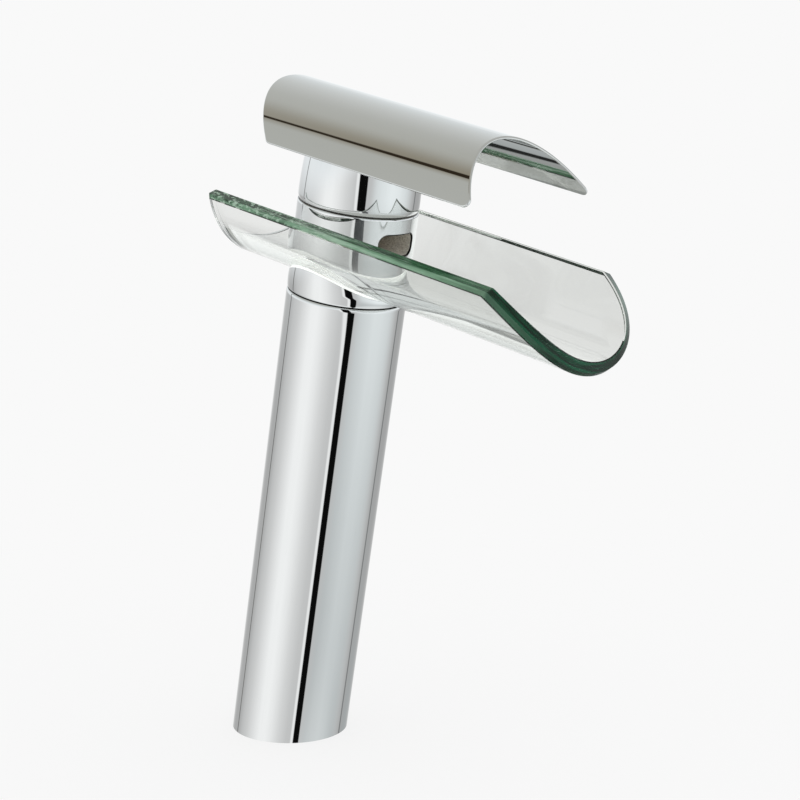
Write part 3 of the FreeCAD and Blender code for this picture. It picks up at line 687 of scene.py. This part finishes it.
def cast_housing(name):
    """Sand casting inside, polished plate outside, painted shade on the slot's lip and joints."""
    graph, shader = finish(name)
    place = upright(graph)
    x, y, z = graph.split(place)
    polished = graph.length(x, y).rise(POLISH_ENDS_R - POLISH_SOFT, POLISH_ENDS_R + POLISH_SOFT)
    grain = noise(graph, place, 1.4, 6.0, 0.7)
    pits = graph.node("ShaderNodeTexVoronoi", {}, {"Vector": place, "Scale": 1.6}, "Distance")
    sand = graph.blend(grain.rise(0.34, 0.66) * pits.rise(0.05, 0.4), CAST_DARK, CAST_LIGHT)
    # painted shade in the hairlines at the joints
    plated = graph.blend(joint_shade(graph, place), CHROME, PAINTED_SHADE_DARK)
    beyond_y = (abs(y) - (SLOT_W / 2 - SLOT_CORNER_R)).at_least(0.0)
    beyond_z = (abs(z - SLOT_MID) - (SLOT_H / 2 - SLOT_CORNER_R)).at_least(0.0)
    from_slot = graph.length(beyond_y, beyond_z) - SLOT_CORNER_R
    # painted shade: a dark line along the outlet's rounded lip
    lip = (from_slot - LIP_SHADE_FROM_SLOT).band(LIP_SHADE_HALF, LIP_SHADE_SOFT) * polished * x.rise(*FRONT_SIDE)
    skin = graph.blend(polished, sand, plated)
    sandy = (1 - polished) * (grain + pits * 0.5) * SAND_MM
    relief = sandy + polished * hand_waves(graph, place) * WAVE_MM
    graph.plug(shader.inputs["Base Color"], graph.blend(lip, skin, PAINTED_SHADE_DARK))
    graph.plug(shader.inputs["Metallic"], polished)
    graph.plug(shader.inputs["Roughness"], CAST_ROUGH - polished * (CAST_ROUGH - HOUSING_ROUGH))
    graph.plug(shader.inputs["Normal"], bump(graph, relief, 1.0, WAVE_STRENGTH))
    return graph.material


housing_finish = cast_housing("housing_chrome_and_casting")
print("polish ends at", POLISH_ENDS_R, "mm")

# %% [markdown]
# ## Brass, steel and ceramic
#
# Turned metal keeps the lathe's fine rings, which are waves in the distance to the axis. Ceramic
# discs are lapped flat and look like unglazed china. Both hide inside, but they are real surfaces
# and show when the faucet is taken apart.

# %% Turned metal and ceramic
RING_TURN = 9.0
RING_WANDER = 3.0
RING_MM = 0.012
CERAMIC_LIGHT = (0.90, 0.90, 0.87)
CERAMIC_DARK = (0.82, 0.82, 0.80)


def turned_metal(name, light, dark, roughness):
    """Metal with the lathe's rings and a few darker stains."""
    graph, shader = finish(name, Metallic=1.0)
    place = upright(graph)
    x, y, z = graph.split(place)
    wander = noise(graph, place, 0.4) * RING_WANDER
    rings = graph.math("SINE", (graph.length(x, y) + z) * RING_TURN + wander)
    stain = noise(graph, place, 0.12, 4.0)
    graph.plug(shader.inputs["Base Color"], graph.blend(stain.rise(0.35, 0.7), light, dark))
    graph.plug(shader.inputs["Roughness"], roughness + stain * 0.15)
    graph.plug(shader.inputs["Normal"], bump(graph, rings, RING_MM, 0.5))
    return graph.material


def ceramic(name):
    """Lapped ceramic with faint specks."""
    graph, shader = finish(name, IOR=1.6)
    speck = noise(graph, upright(graph), 2.2, 3.0)
    specked = graph.blend(speck.rise(0.4, 0.7), CERAMIC_LIGHT, CERAMIC_DARK)
    graph.plug(shader.inputs["Base Color"], specked)
    graph.plug(shader.inputs["Roughness"], 0.28 + speck * 0.12)
    return graph.material


brass = turned_metal("turned_brass", (0.76, 0.60, 0.33), (0.58, 0.43, 0.20), 0.24)
steel = turned_metal("turned_steel", (0.60, 0.60, 0.61), (0.48, 0.48, 0.50), 0.20)
alumina = ceramic("lapped_ceramic")
print("hidden metal and ceramic:", brass.name, steel.name, alumina.name)

# %% [markdown]
# ## Rubber and plastic
#
# Moulded rubber is black and bloomed in patches, acetal plastic is dull with a fine moulded grain,
# and the thin rings that cushion the glass are clear silicone, which is cloudy rather than clear.
# All three are one finish with other numbers. The silicone also lets some light through, and a
# faint glow stands for the light that spreads inside it.

# %% Rubber and plastic
def moulded(name, light, dark, roughness, grain_mm, **constants):
    """A moulded finish: two shades in soft clouds, and a fine grain."""
    graph, shader = finish(name, **constants)
    place = upright(graph)
    cloud = noise(graph, place, 0.15, 4.0)
    grain = noise(graph, place, 3.0, 4.0, 0.6)
    graph.plug(shader.inputs["Base Color"], graph.blend(cloud.rise(0.35, 0.7), light, dark))
    graph.plug(shader.inputs["Roughness"], roughness + cloud * 0.12)
    graph.plug(shader.inputs["Normal"], bump(graph, grain, grain_mm, 0.5))
    return graph.material


black_rubber = moulded("moulded_rubber", (0.020, 0.020, 0.021), (0.045, 0.044, 0.043), 0.50, 0.03)
silicone = moulded("clear_silicone", (0.96, 0.97, 0.96), (0.90, 0.91, 0.90), 0.32, 0.015,
                   Transmission_Weight=0.3, IOR=1.41,
                   Emission_Color=(0.93, 0.95, 0.93), Emission_Strength=0.45)
white_plastic = moulded("white_acetal", (0.84, 0.84, 0.81), (0.76, 0.76, 0.73), 0.36, 0.02)
grey_plastic = moulded("grey_acetal", (0.31, 0.32, 0.34), (0.25, 0.26, 0.27), 0.38, 0.02)
silver_plastic = moulded("silver_cap", (0.66, 0.67, 0.69), (0.60, 0.61, 0.63), 0.10, 0.008,
                         Metallic=0.9)
print("plastics:", white_plastic.name, grey_plastic.name, silver_plastic.name)

# %% [markdown]
# ## Finishes go on the solids
#
# The record names a slot for every solid. One table turns slots into finishes. Only the clear
# glass has no row: its solid gives way to a mesh made below.

# %% Dress the solids
FINISH_OF_SLOT = {
    "column_chrome": body_chrome, "collar_chrome": body_chrome, "housing_chrome": housing_finish,
    "bonnet_chrome": body_chrome, "handle_chrome": handle_chrome, "raw_brass": brass,
    "black_rubber": black_rubber, "clear_rubber": silicone, "white_plastic": white_plastic,
    "grey_plastic": grey_plastic, "ceramic": alumina, "steel": steel,
    "chrome_plastic": silver_plastic,
}
for subpart in frame["record"]["subparts"]:
    chosen = FINISH_OF_SLOT.get(subpart["material_slot"])
    if chosen:
        for slot in frame["nodes"][subpart["node"]].material_slots:
            slot.material = chosen

# %% [markdown]
# ## The glass spout
#
# The trough is a flat sheet of clear glass, cut to a rounded lip, ground along its edges, drilled
# for the neck, and bent in a furnace over a mould. Its shape follows a rule: every point has a
# place along the trough, an angle round it and a depth in the sheet. Geometry Nodes suit that. A
# box of many small faces is closed from the start, and the rule moves each of its points to the
# bent sheet.

# %% The sheet's sizes
HALF_ANGLE = math.radians(71.499)
REAR_X = -49.0
RIM_X = 103.0
LIP_ROUND = 18.7
LIP_FULL = 10.5 - JUST_INSIDE
ARRIS = 0.5
BEVEL = 1.6
DRILL_LENGTH = 30.0
ROWS_ALONG, ROWS_ROUND, ROWS_DEEP = 90, 170, 4
OUTER_LAYERS = 0.4
DRILL_SIDES = 160

GLASS_SIZES = {"Radius": GLASS_IN_R, "Thickness": GLASS_T, "Half angle": HALF_ANGLE,
               "Axis height": GLASS_AXIS, "Rear end": REAR_X, "Rim end": RIM_X, "Arris": ARRIS,
               "Bevel": BEVEL, "Lip round": LIP_ROUND, "Lip full": LIP_FULL,
               "Hole radius": NECK_HOLE_R}
print("glass:", round(RIM_X + LIP_ROUND + LIP_FULL - REAR_X, 1), "mm long in the middle")

# %% [markdown]
# ### The rule that bends the sheet
#
# The box has four layers of points through its thickness. The two outer layers become the broad
# faces and stop a little short of the edge, by a fine arris inside and a wider bevel outside. The
# two middle layers reach the full outline and become the ground edge. Three numbers stay on every
# point for the finish to read: whether it is on the ground edge, how deep it is, and how far
# across.

# %% Bend the sheet
def stored(graph, geometry, name, value):
    """Keeps a number on every point, for the material to read."""
    return graph.node("GeometryNodeStoreNamedAttribute", {"data_type": "FLOAT", "domain": "POINT"},
                      {"Geometry": geometry, "Name": name, "Value": value})


def glass_tree():
    """The node group that makes the bent, ground and drilled sheet."""
    tree = bpy.data.node_groups.new("bent_glass", "GeometryNodeTree")
    tree.interface.new_socket("Geometry", in_out="INPUT", socket_type="NodeSocketGeometry")
    for name, usual in GLASS_SIZES.items():
        socket = tree.interface.new_socket(name, in_out="INPUT", socket_type="NodeSocketFloat")
        socket.default_value = usual
    tree.interface.new_socket("Material", in_out="INPUT", socket_type="NodeSocketMaterial")
    tree.interface.new_socket("Geometry", in_out="OUTPUT", socket_type="NodeSocketGeometry")
    graph = Graph(tree)
    given = graph.node("NodeGroupInput", out="Radius")
    size = given.sibling

    box = graph.node("GeometryNodeMeshCube", {}, {"Size": (1, 1, 1), "Vertices X": ROWS_ALONG,
                                                  "Vertices Y": ROWS_ROUND,
                                                  "Vertices Z": ROWS_DEEP}, "Mesh")
    x, y, z = graph.split(graph.node("GeometryNodeInputPosition"))
    across = y * 2
    skin = graph.math("GREATER_THAN", abs(z), OUTER_LAYERS)
    ground = 1 - skin
    outer = graph.math("LESS_THAN", z, 0.0)
    arris, bevel = size("Arris"), size("Bevel")
    cut = arris + (bevel - arris) * outer
    depth = outer * size("Thickness") + ground * (arris - outer * (arris + bevel))
    radius = given + depth
    angle = across * (size("Half angle") - skin * cut / radius)
    full = 1 - across * across
    fuller = 1 - across * across * across * across
    front = size("Rim end") + size("Lip round") * full + size("Lip full") * fuller
    start = size("Rear end") + skin * cut
    along = start + (front - skin * cut - start) * (x + 0.5)
    up = size("Axis height") - radius * graph.math("COSINE", angle)
    for name, value in (("ground_edge", ground), ("depth", depth / size("Thickness")),
                        ("across", across)):
        box = stored(graph, box, name, value)
    place = graph.join(along, radius * graph.math("SINE", angle), up)
    bent_sheet = graph.node("GeometryNodeSetPosition", {}, {"Geometry": box, "Position": place})

    drill = graph.node("GeometryNodeMeshCylinder", {}, {"Vertices": DRILL_SIDES,
                                                        "Radius": size("Hole radius"),
                                                        "Depth": DRILL_LENGTH}, "Mesh")
    floor_of_trough = graph.join(0.0, 0.0, size("Axis height") - given)
    drill = graph.node("GeometryNodeTransform", {}, {"Geometry": drill,
                                                     "Translation": floor_of_trough})
    drilled = graph.node("GeometryNodeMeshBoolean", {"operation": "DIFFERENCE"},
                         {"Mesh 1": bent_sheet, "Mesh 2": drill}, "Mesh")
    leaned = graph.node("GeometryNodeTransform", {}, {"Geometry": drilled, "Rotation": (0, LEAN, 0),
                                                      "Scale": (MM, MM, MM)})
    real = graph.node("GeometryNodeRealizeInstances", {}, {"Geometry": leaned})
    finished = graph.node("GeometryNodeSetMaterial", {}, {"Geometry": real,
                                                          "Material": size("Material")})
    graph.node("NodeGroupOutput", {}, {"Geometry": finished})
    print(tree.name, "nodes:", len(tree.nodes))
    return tree


glass_rule = glass_tree()

# %% [markdown]
# ## What the glass looks like
#
# Clear glass is faintly green from the iron in it, and the longer the path through it, the greener
# it gets. Absorption inside the sheet gives the broad faces that faint tint. The ground edges
# gather light from the whole sheet and go bottle green. Tracing that would take far more bounces
# than a render allows, so a matt green shader is mixed in where the stored numbers say that the
# surface is ground. It is streaked along the edge, chipped towards the rear with painted glints,
# darkest round the lip, and paler on the bevel. Seen from inside the sheet, the edge gets pale
# painted light, and painted shade along the front of the rims.

# %% Colours of the glass
GLASS_IOR = 1.50
GLASS_TINT = (0.70, 0.765, 0.705)
TINT_DEPTH = 16.0
CLEAR = (1.0, 1.0, 1.0)
CLEAR_FRONT = (0.880, 0.886, 0.878)
RIM_GREEN = (0.048, 0.150, 0.070)
RIM_DARK = (0.006, 0.034, 0.014)
# painted highlight on the ground edge
RIM_HIGHLIGHT = (0.42, 0.60, 0.46)
BEVEL_GREEN = (0.200, 0.375, 0.240)
# painted shade on the rim's face and pale painted light, where the edge is seen from inside
RIM_SHADE_FROM_INSIDE = (0.016, 0.020, 0.017)
FRONT_SHADE_FROM_INSIDE = (0.36, 0.38, 0.36)
LIGHT_FROM_INSIDE = (0.50, 0.66, 0.54)
LIP_GREEN = (0.004, 0.078, 0.035)
LIP_DARK = (0.001, 0.014, 0.006)
LIP_BEVEL = (0.060, 0.150, 0.090)
print("the rim reflects", RIM_GREEN[1], "of green light and", RIM_GREEN[0], "of red")

# %% [markdown]
# ### The painted edge
#
# Grinding leaves fine lines along the edge, and nipping leaves chips near the rear corners. Three
# noises draw them: long streaks, dark chips and bright glints, which are painted highlights where
# chips catch the light; some lighter streaks are painted highlights too. They are laid on the sheet
# as it was before bending, along it, across it and through it, so that no pattern is squeezed by
# the bend.

# %% Streaks, chips and painted glints on the ground edge
STREAKS = (0.035, 0.035, 0.75)
CHIPS = (0.17, 0.17, 0.42)
GLINTS = (0.24, 0.24, 0.40)
HALF_ARC = 51.0
REAR_TO_FRONT = (-20.0, 45.0)
BEVEL_BEGINS = (0.66, 0.74)
PAST_HOLE = (24.0, 28.0)
LIP_BEGINS = (RIM_X - 1.0, RIM_X + 0.6)


def stored_number(graph, name):
    """A number that the node group left on the surface."""
    return graph.node("ShaderNodeAttribute", {"attribute_name": name}, {}, "Fac")


def edge_shader(graph, x, across, depth, shaded_rim_face, from_inside):
    """Streaked, chipped green of the ground edge, with painted glints and painted light and shade
    seen from inside, under a thin gloss.
    """
    sheet_place = graph.join(x, across * HALF_ARC, depth * GLASS_T)
    streaks = noise(graph, stretched(graph, sheet_place, STREAKS), 1.0, 4.0, 0.6)
    chips = noise(graph, stretched(graph, sheet_place, CHIPS), 1.0, 3.0, 0.7)
    glints = noise(graph, stretched(graph, sheet_place, GLINTS), 1.7, 2.0, 0.6)
    chipped_end = x.rise(*reversed(REAR_TO_FRONT))
    bevel = depth.rise(*BEVEL_BEGINS)

    shaded = streaks.rise(0.50, 0.60) * 0.75 + chips.rise(0.46, 0.56) * chipped_end * 0.9
    # painted highlights: lighter streaks, and glints on the chips near the rear
    lit = streaks.rise(0.47, 0.38) * 0.55 + glints.rise(0.54, 0.62) * chipped_end * 0.8
    # painted shade on the rim's face seen from inside, darkest just past the hole, greyer to the
    # front
    painted_shade_inside = graph.blend(x.rise(20.0, RIM_X), RIM_SHADE_FROM_INSIDE, FRONT_SHADE_FROM_INSIDE)
    rim = graph.blend(bevel, RIM_GREEN, BEVEL_GREEN)
    rim = graph.blend(shaded * (1 - bevel * 0.45), rim, RIM_DARK)
    rim = graph.blend(lit, rim, RIM_HIGHLIGHT)
    # painted light where the edge is seen from inside the sheet
    rim = graph.blend(from_inside, rim, LIGHT_FROM_INSIDE)
    rim = graph.blend(shaded_rim_face, rim, painted_shade_inside)

    lip = graph.blend(streaks.rise(0.42, 0.58), LIP_GREEN, LIP_DARK)
    lip = graph.blend(bevel * abs(across).rise(0.45, 0.95, 0.05, 0.75), lip, LIP_BEVEL)
    # painted light where the lip is seen from inside the sheet
    lip = graph.blend(from_inside, lip, LIGHT_FROM_INSIDE)
    on_lip = x.rise(*LIP_BEGINS)
    colour = graph.blend(on_lip, rim, lip)
    return graph.node("ShaderNodeBsdfPrincipled", {}, {"Base Color": colour, "Roughness": 0.25,
                                                       "IOR": GLASS_IOR, "Specular IOR Level": 0.2,
                                                       "Coat Weight": 0.55 - on_lip * 0.43,
                                                       "Coat Roughness": 0.08})


print("the edge is painted on a sheet", 2 * HALF_ARC, "mm wide")

# %% [markdown]
# ### Clear faces and painted edge in one material
#
# A clear shader and the matt one meet in a Mix Shader, and its factor says where the edge is. The
# outer edge of the sheet turns matt sooner than the inner one, because its bevel is wider. From
# inside the sheet most of the edge is let through, or the trough would look as if it were lined
# with green paper.

# %% Clear glass with green ground edges
MATT = 0.90
INNER_EDGE = (0.55, 0.95)
OUTER_EDGE = (0.02, 0.35)
HALF_DEEP = (0.3, 0.5)
REAR_FACE = (REAR_X + 5, REAR_X + 2)
LET_THROUGH = 0.7


def clear_glass(name):
    """Clear tinted glass whose ground edges are matt green."""
    graph, shader = finish(name, IOR=GLASS_IOR, Transmission_Weight=1.0, Roughness=0.0)
    ground = stored_number(graph, "ground_edge")
    depth = stored_number(graph, "depth")
    across = stored_number(graph, "across")
    x, _, _ = graph.split(upright(graph))
    from_inside = graph.node("ShaderNodeNewGeometry", out="Backfacing")
    # where the rim's face, seen from inside, gets painted shade
    shaded_rim_face = (1 - depth.rise(*BEVEL_BEGINS)) * from_inside * x.rise(*PAST_HOLE)
    graph.plug(shader.inputs["Base Color"], graph.blend(x.rise(*REAR_TO_FRONT), CLEAR, CLEAR_FRONT))

    inner, outer = ground.rise(*INNER_EDGE, 0.0, MATT), ground.rise(*OUTER_EDGE, 0.0, MATT)
    matt = graph.blend(depth.rise(*HALF_DEEP), graph.colour(inner, inner, inner),
                       graph.colour(outer, outer, outer))
    matt = matt * (1 - from_inside * x.rise(*REAR_FACE))
    matt = matt * (1 - from_inside * (1 - shaded_rim_face) * LET_THROUGH)
    frosted = edge_shader(graph, x, across, depth, shaded_rim_face, from_inside)
    both = graph.node("ShaderNodeMixShader", {}, {0: matt, 1: Value(graph, shader.outputs[0]),
                                                  2: frosted})
    tinted = graph.node("ShaderNodeVolumeAbsorption", {}, {"Color": GLASS_TINT,
                                                           "Density": TINT_DEPTH})
    output = next(node for node in graph.tree.nodes if node.type == "OUTPUT_MATERIAL")
    graph.plug(output.inputs["Surface"], both)
    graph.plug(output.inputs["Volume"], tinted)
    return graph.material


glass_finish = clear_glass("green_edged_glass")
print("glass:", glass_finish.name, len(glass_finish.node_tree.nodes), "nodes")

# %% [markdown]
# ### From node group to mesh
#
# The node group runs on an empty mesh, and what comes out is kept as a plain mesh, because the
# export wants pieces without modifiers. The material is handed in by the identifier of its socket.
# Then the piece gets smooth shading, a body to ride on and the solid that it stands for.

# %% Bake the node group and put the spout in its place
def baked(name, tree, **inputs):
    """Runs a node group on an empty mesh and keeps the mesh that comes out."""
    holder = bpy.data.objects.new(name + "_maker", bpy.data.meshes.new(name + "_seed"))
    bpy.context.scene.collection.objects.link(holder)
    modifier = holder.modifiers.new("maker", "NODES")
    modifier.node_group = tree
    for item in tree.interface.items_tree:
        if item.in_out == "INPUT" and item.name in inputs:
            modifier[item.identifier] = inputs[item.name]
    shown = holder.evaluated_get(bpy.context.evaluated_depsgraph_get())
    mesh = bpy.data.meshes.new_from_object(shown)
    mesh.name = name
    bpy.data.objects.remove(holder)
    made = bpy.data.objects.new(name, mesh)
    bpy.context.scene.collection.objects.link(made)
    return made


def smooth(piece, sharp_over_deg=30):
    """Smooth shading with crisp edges where faces meet at more than an angle."""
    piece.data.shade_smooth()
    piece.data.set_sharp_from_angle(angle=math.radians(sharp_over_deg))


def stands_for(piece, node, body):
    """Puts a finished piece in the place of a solid."""
    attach(piece, body)
    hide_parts(node)
    print(piece.name, "faces:", len(piece.data.polygons), "for", node)


spout = baked("bent_glass_trough", glass_rule, Material=glass_finish)
smooth(spout)
stands_for(spout, "glass_spout", "root")

# %% [markdown]
# ## Turned pieces
#
# The column, the collar and the bonnet are turned on a lathe. Each is a loop of corners swept round
# the body axis, which a Spin could do if the loop never changed. Here it does, so a short function
# asks for the loop at every angle and joins neighbours with faces. Rounded edges are real geometry,
# and flat walls get a holding row near each corner, so that smooth shading doesn't smear over them.

# %% Rounded edges, held walls and the sweep
ROUND_STEPS = 16
HOLD_MM = 0.12
SEGMENTS = 256


def rounding(centre_r, centre_h, size, start_deg, end_deg, steps=ROUND_STEPS, tall=None):
    """Points of a rounded edge; a tall one is an ellipse, which bends reflections softly."""
    turns = [math.radians(start_deg + (end_deg - start_deg) * k / steps) for k in range(steps + 1)]
    tall = tall or size
    return [(centre_r + size * math.cos(a), centre_h + tall * math.sin(a)) for a in turns]


def rows(start, end, count):
    """Points between two corners, with a holding row close to each."""
    hold = HOLD_MM / math.dist(start, end)
    steps = [hold] + [k / count for k in range(1, count)] + [1 - hold]
    return [tuple(a + (b - a) * t for a, b in zip(start, end)) for t in steps]


def ring_piece(name, loop, material):
    """Sweeps a loop of corners round the body axis into a closed mesh."""
    mesh = bmesh.new()
    loops = []
    for k in range(SEGMENTS):
        angle = math.tau * k / SEGMENTS
        spots = [(r * math.cos(angle), r * math.sin(angle), h) for r, h in loop(angle)]
        loops.append([mesh.verts.new(upright_to_place @ Vector(spot)) for spot in spots])
    for near, far in zip(loops, loops[1:] + loops[:1]):
        for k in range(len(near)):
            mesh.faces.new((near[k - 1], far[k - 1], far[k], near[k]))
    bmesh.ops.recalc_face_normals(mesh, faces=mesh.faces)
    data = bpy.data.meshes.new(name)
    mesh.to_mesh(data)
    mesh.free()
    data.materials.append(material)
    piece = bpy.data.objects.new(name, data)
    bpy.context.scene.collection.objects.link(piece)
    smooth(piece)
    return piece


print("turned pieces have", SEGMENTS, "segments")

# %% [markdown]
# ## Column
#
# The column is a tube, but no plain cylinder: its foot is cut level although the tube leans, its
# top edge is rounded, and an inner ledge holds the neck. Cutting a cylinder with a level plane
# would leave long thin faces at the foot. Instead every corner at the foot gets the height of the
# level cut at its own angle.

# %% Leaning column
COLUMN_BORE_R = 22.0
COLUMN_SOCKET_R = 21.95
FOOT_BORE_R = 22.7
FOOT_DEPTH = 11.0
LEDGE_BORE_R = 17.2
LEDGE_BOTTOM = 190.0
LEDGE_TOP = 196.0
SOFT_EDGE = 1.7
COLUMN_ROWS = 20


def level(radius, angle, height_mm):
    """Height on the body axis of a level cut through the leaning tube."""
    return (height_mm + radius * math.cos(angle) * math.sin(LEAN)) / math.cos(LEAN)


def column_loop(angle):
    """Corners of the tube's wall, with its level foot and its inner ledge."""
    side_r = BODY_R - JUST_INSIDE
    foot = (side_r, level(side_r, angle, JUST_INSIDE))
    shoulder = rounding(side_r - JOINT_ROUND, COLUMN_TOP - SOFT_EDGE, JOINT_ROUND, 0, 90,
                        tall=SOFT_EDGE)
    ledge = [(COLUMN_SOCKET_R, COLUMN_TOP), (COLUMN_SOCKET_R, LEDGE_TOP), (LEDGE_BORE_R, LEDGE_TOP),
             (LEDGE_BORE_R, LEDGE_BOTTOM), (COLUMN_BORE_R, LEDGE_BOTTOM)]
    bore = [(COLUMN_BORE_R, level(COLUMN_BORE_R, angle, FOOT_DEPTH)),
            (FOOT_BORE_R, level(FOOT_BORE_R, angle, FOOT_DEPTH)),
            (FOOT_BORE_R, level(FOOT_BORE_R, angle, JUST_INSIDE))]
    return [foot] + rows(foot, shoulder[0], COLUMN_ROWS) + shoulder + ledge + bore


column = ring_piece("leaning_column", column_loop, body_chrome)
stands_for(column, "column", "root")

# %% [markdown]
# ## Collar
#
# The collar sits between the column and the glass. It is slightly crowned, which bends the
# reflections on it into an S, and its top is a saddle that carries the bent glass. The saddle is a
# lying cylinder, so the height of the top edge changes with the angle and the rows below follow it.

# %% Crowned collar
CROWN = 0.16
CROWN_ROWS = 14
LID_ROWS = 6
FOOT_STEPS = 8
PAD_T = 0.8
SADDLE_R = GLASS_IN_R + GLASS_T + PAD_T


def saddle(radius, angle):
    """Height on the body axis of the lying cylinder under the glass."""
    return GLASS_AXIS - math.sqrt(SADDLE_R ** 2 - (radius * math.sin(angle)) ** 2)


def collar_loop(angle):
    """Corners of the collar: rounded foot, crowned side and saddle top."""
    low = COLUMN_TOP + JOINT_ROUND
    top = saddle(BODY_R, angle)
    base = rounding(BODY_R - CROWN - JOINT_ROUND, low, JOINT_ROUND, -90, 0, FOOT_STEPS)
    up_side = [k / CROWN_ROWS for k in range(1, CROWN_ROWS + 1)]
    side = [(BODY_R - CROWN * (2 * t - 1) ** 2, low + (top - low) * t) for t in up_side]
    edge_r = side[-1][0]
    inwards = [edge_r + (NECK_HOLE_R - edge_r) * k / LID_ROWS for k in range(1, LID_ROWS + 1)]
    return [(NECK_HOLE_R, COLUMN_TOP)] + base + side + [(r, saddle(r, angle)) for r in inwards]


collar = ring_piece("crowned_collar", collar_loop, body_chrome)
stands_for(collar, "glass_collar", "root")

# %% [markdown]
# ## Bonnet
#
# The bonnet is a turned cap with the same outline all round. Its side draws in a little towards the
# top, its shoulder is a quarter round, and its lower edge is soft, so the dark line on it curls in
# before it meets the joint. It is hollow and open where the lever comes out. Its loop doesn't
# change with the angle, but it goes through the same sweep.

# %% Turned cap
BONNET_INNER_R = 22.0
BONNET_MOUTH_R = 16.5
DRAW_STARTS = 239.4
DRAW_ENDS = 256.0
DRAW_IN = 1.0
DRAW_ROWS = 12
SHOULDER_R = 6.75
SHOULDER_STEPS = 20
ROOF_T = 2.4
ROOF_CHAMFER = 1.6


def bonnet_loop(angle):
    """Corners of the cap: soft foot, side on a large arc, shoulder, roof and hollow."""
    rise = DRAW_ENDS - DRAW_STARTS
    side_r = (rise ** 2 + DRAW_IN ** 2) / (2 * DRAW_IN)
    lean_in = math.asin(rise / side_r)
    base = rounding(BODY_R - JOINT_ROUND, DRAW_STARTS, JOINT_ROUND, -90, 0,
                    tall=DRAW_STARTS - HOUSING_TOP)
    climbs = [rise * k / DRAW_ROWS for k in range(1, DRAW_ROWS + 1)]
    side = [(BODY_R - side_r + math.sqrt(side_r ** 2 - up ** 2), DRAW_STARTS + up) for up in climbs]
    end_r, end_h = side[-1]
    centre_r = end_r - SHOULDER_R * math.cos(lean_in)
    centre_h = end_h - SHOULDER_R * math.sin(lean_in)
    shoulder = rounding(centre_r, centre_h, SHOULDER_R, math.degrees(lean_in), 90, SHOULDER_STEPS)
    top = shoulder[-1][1]
    roof = top - ROOF_T
    hollow = [(BONNET_MOUTH_R, top), (BONNET_MOUTH_R, roof), (BONNET_INNER_R - ROOF_CHAMFER, roof),
              (BONNET_INNER_R, roof - ROOF_CHAMFER), (BONNET_INNER_R, HOUSING_TOP)]
    return base + side + shoulder[1:] + hollow


bonnet = ring_piece("domed_bonnet", bonnet_loop, body_chrome)
stands_for(bonnet, "bonnet", "root")
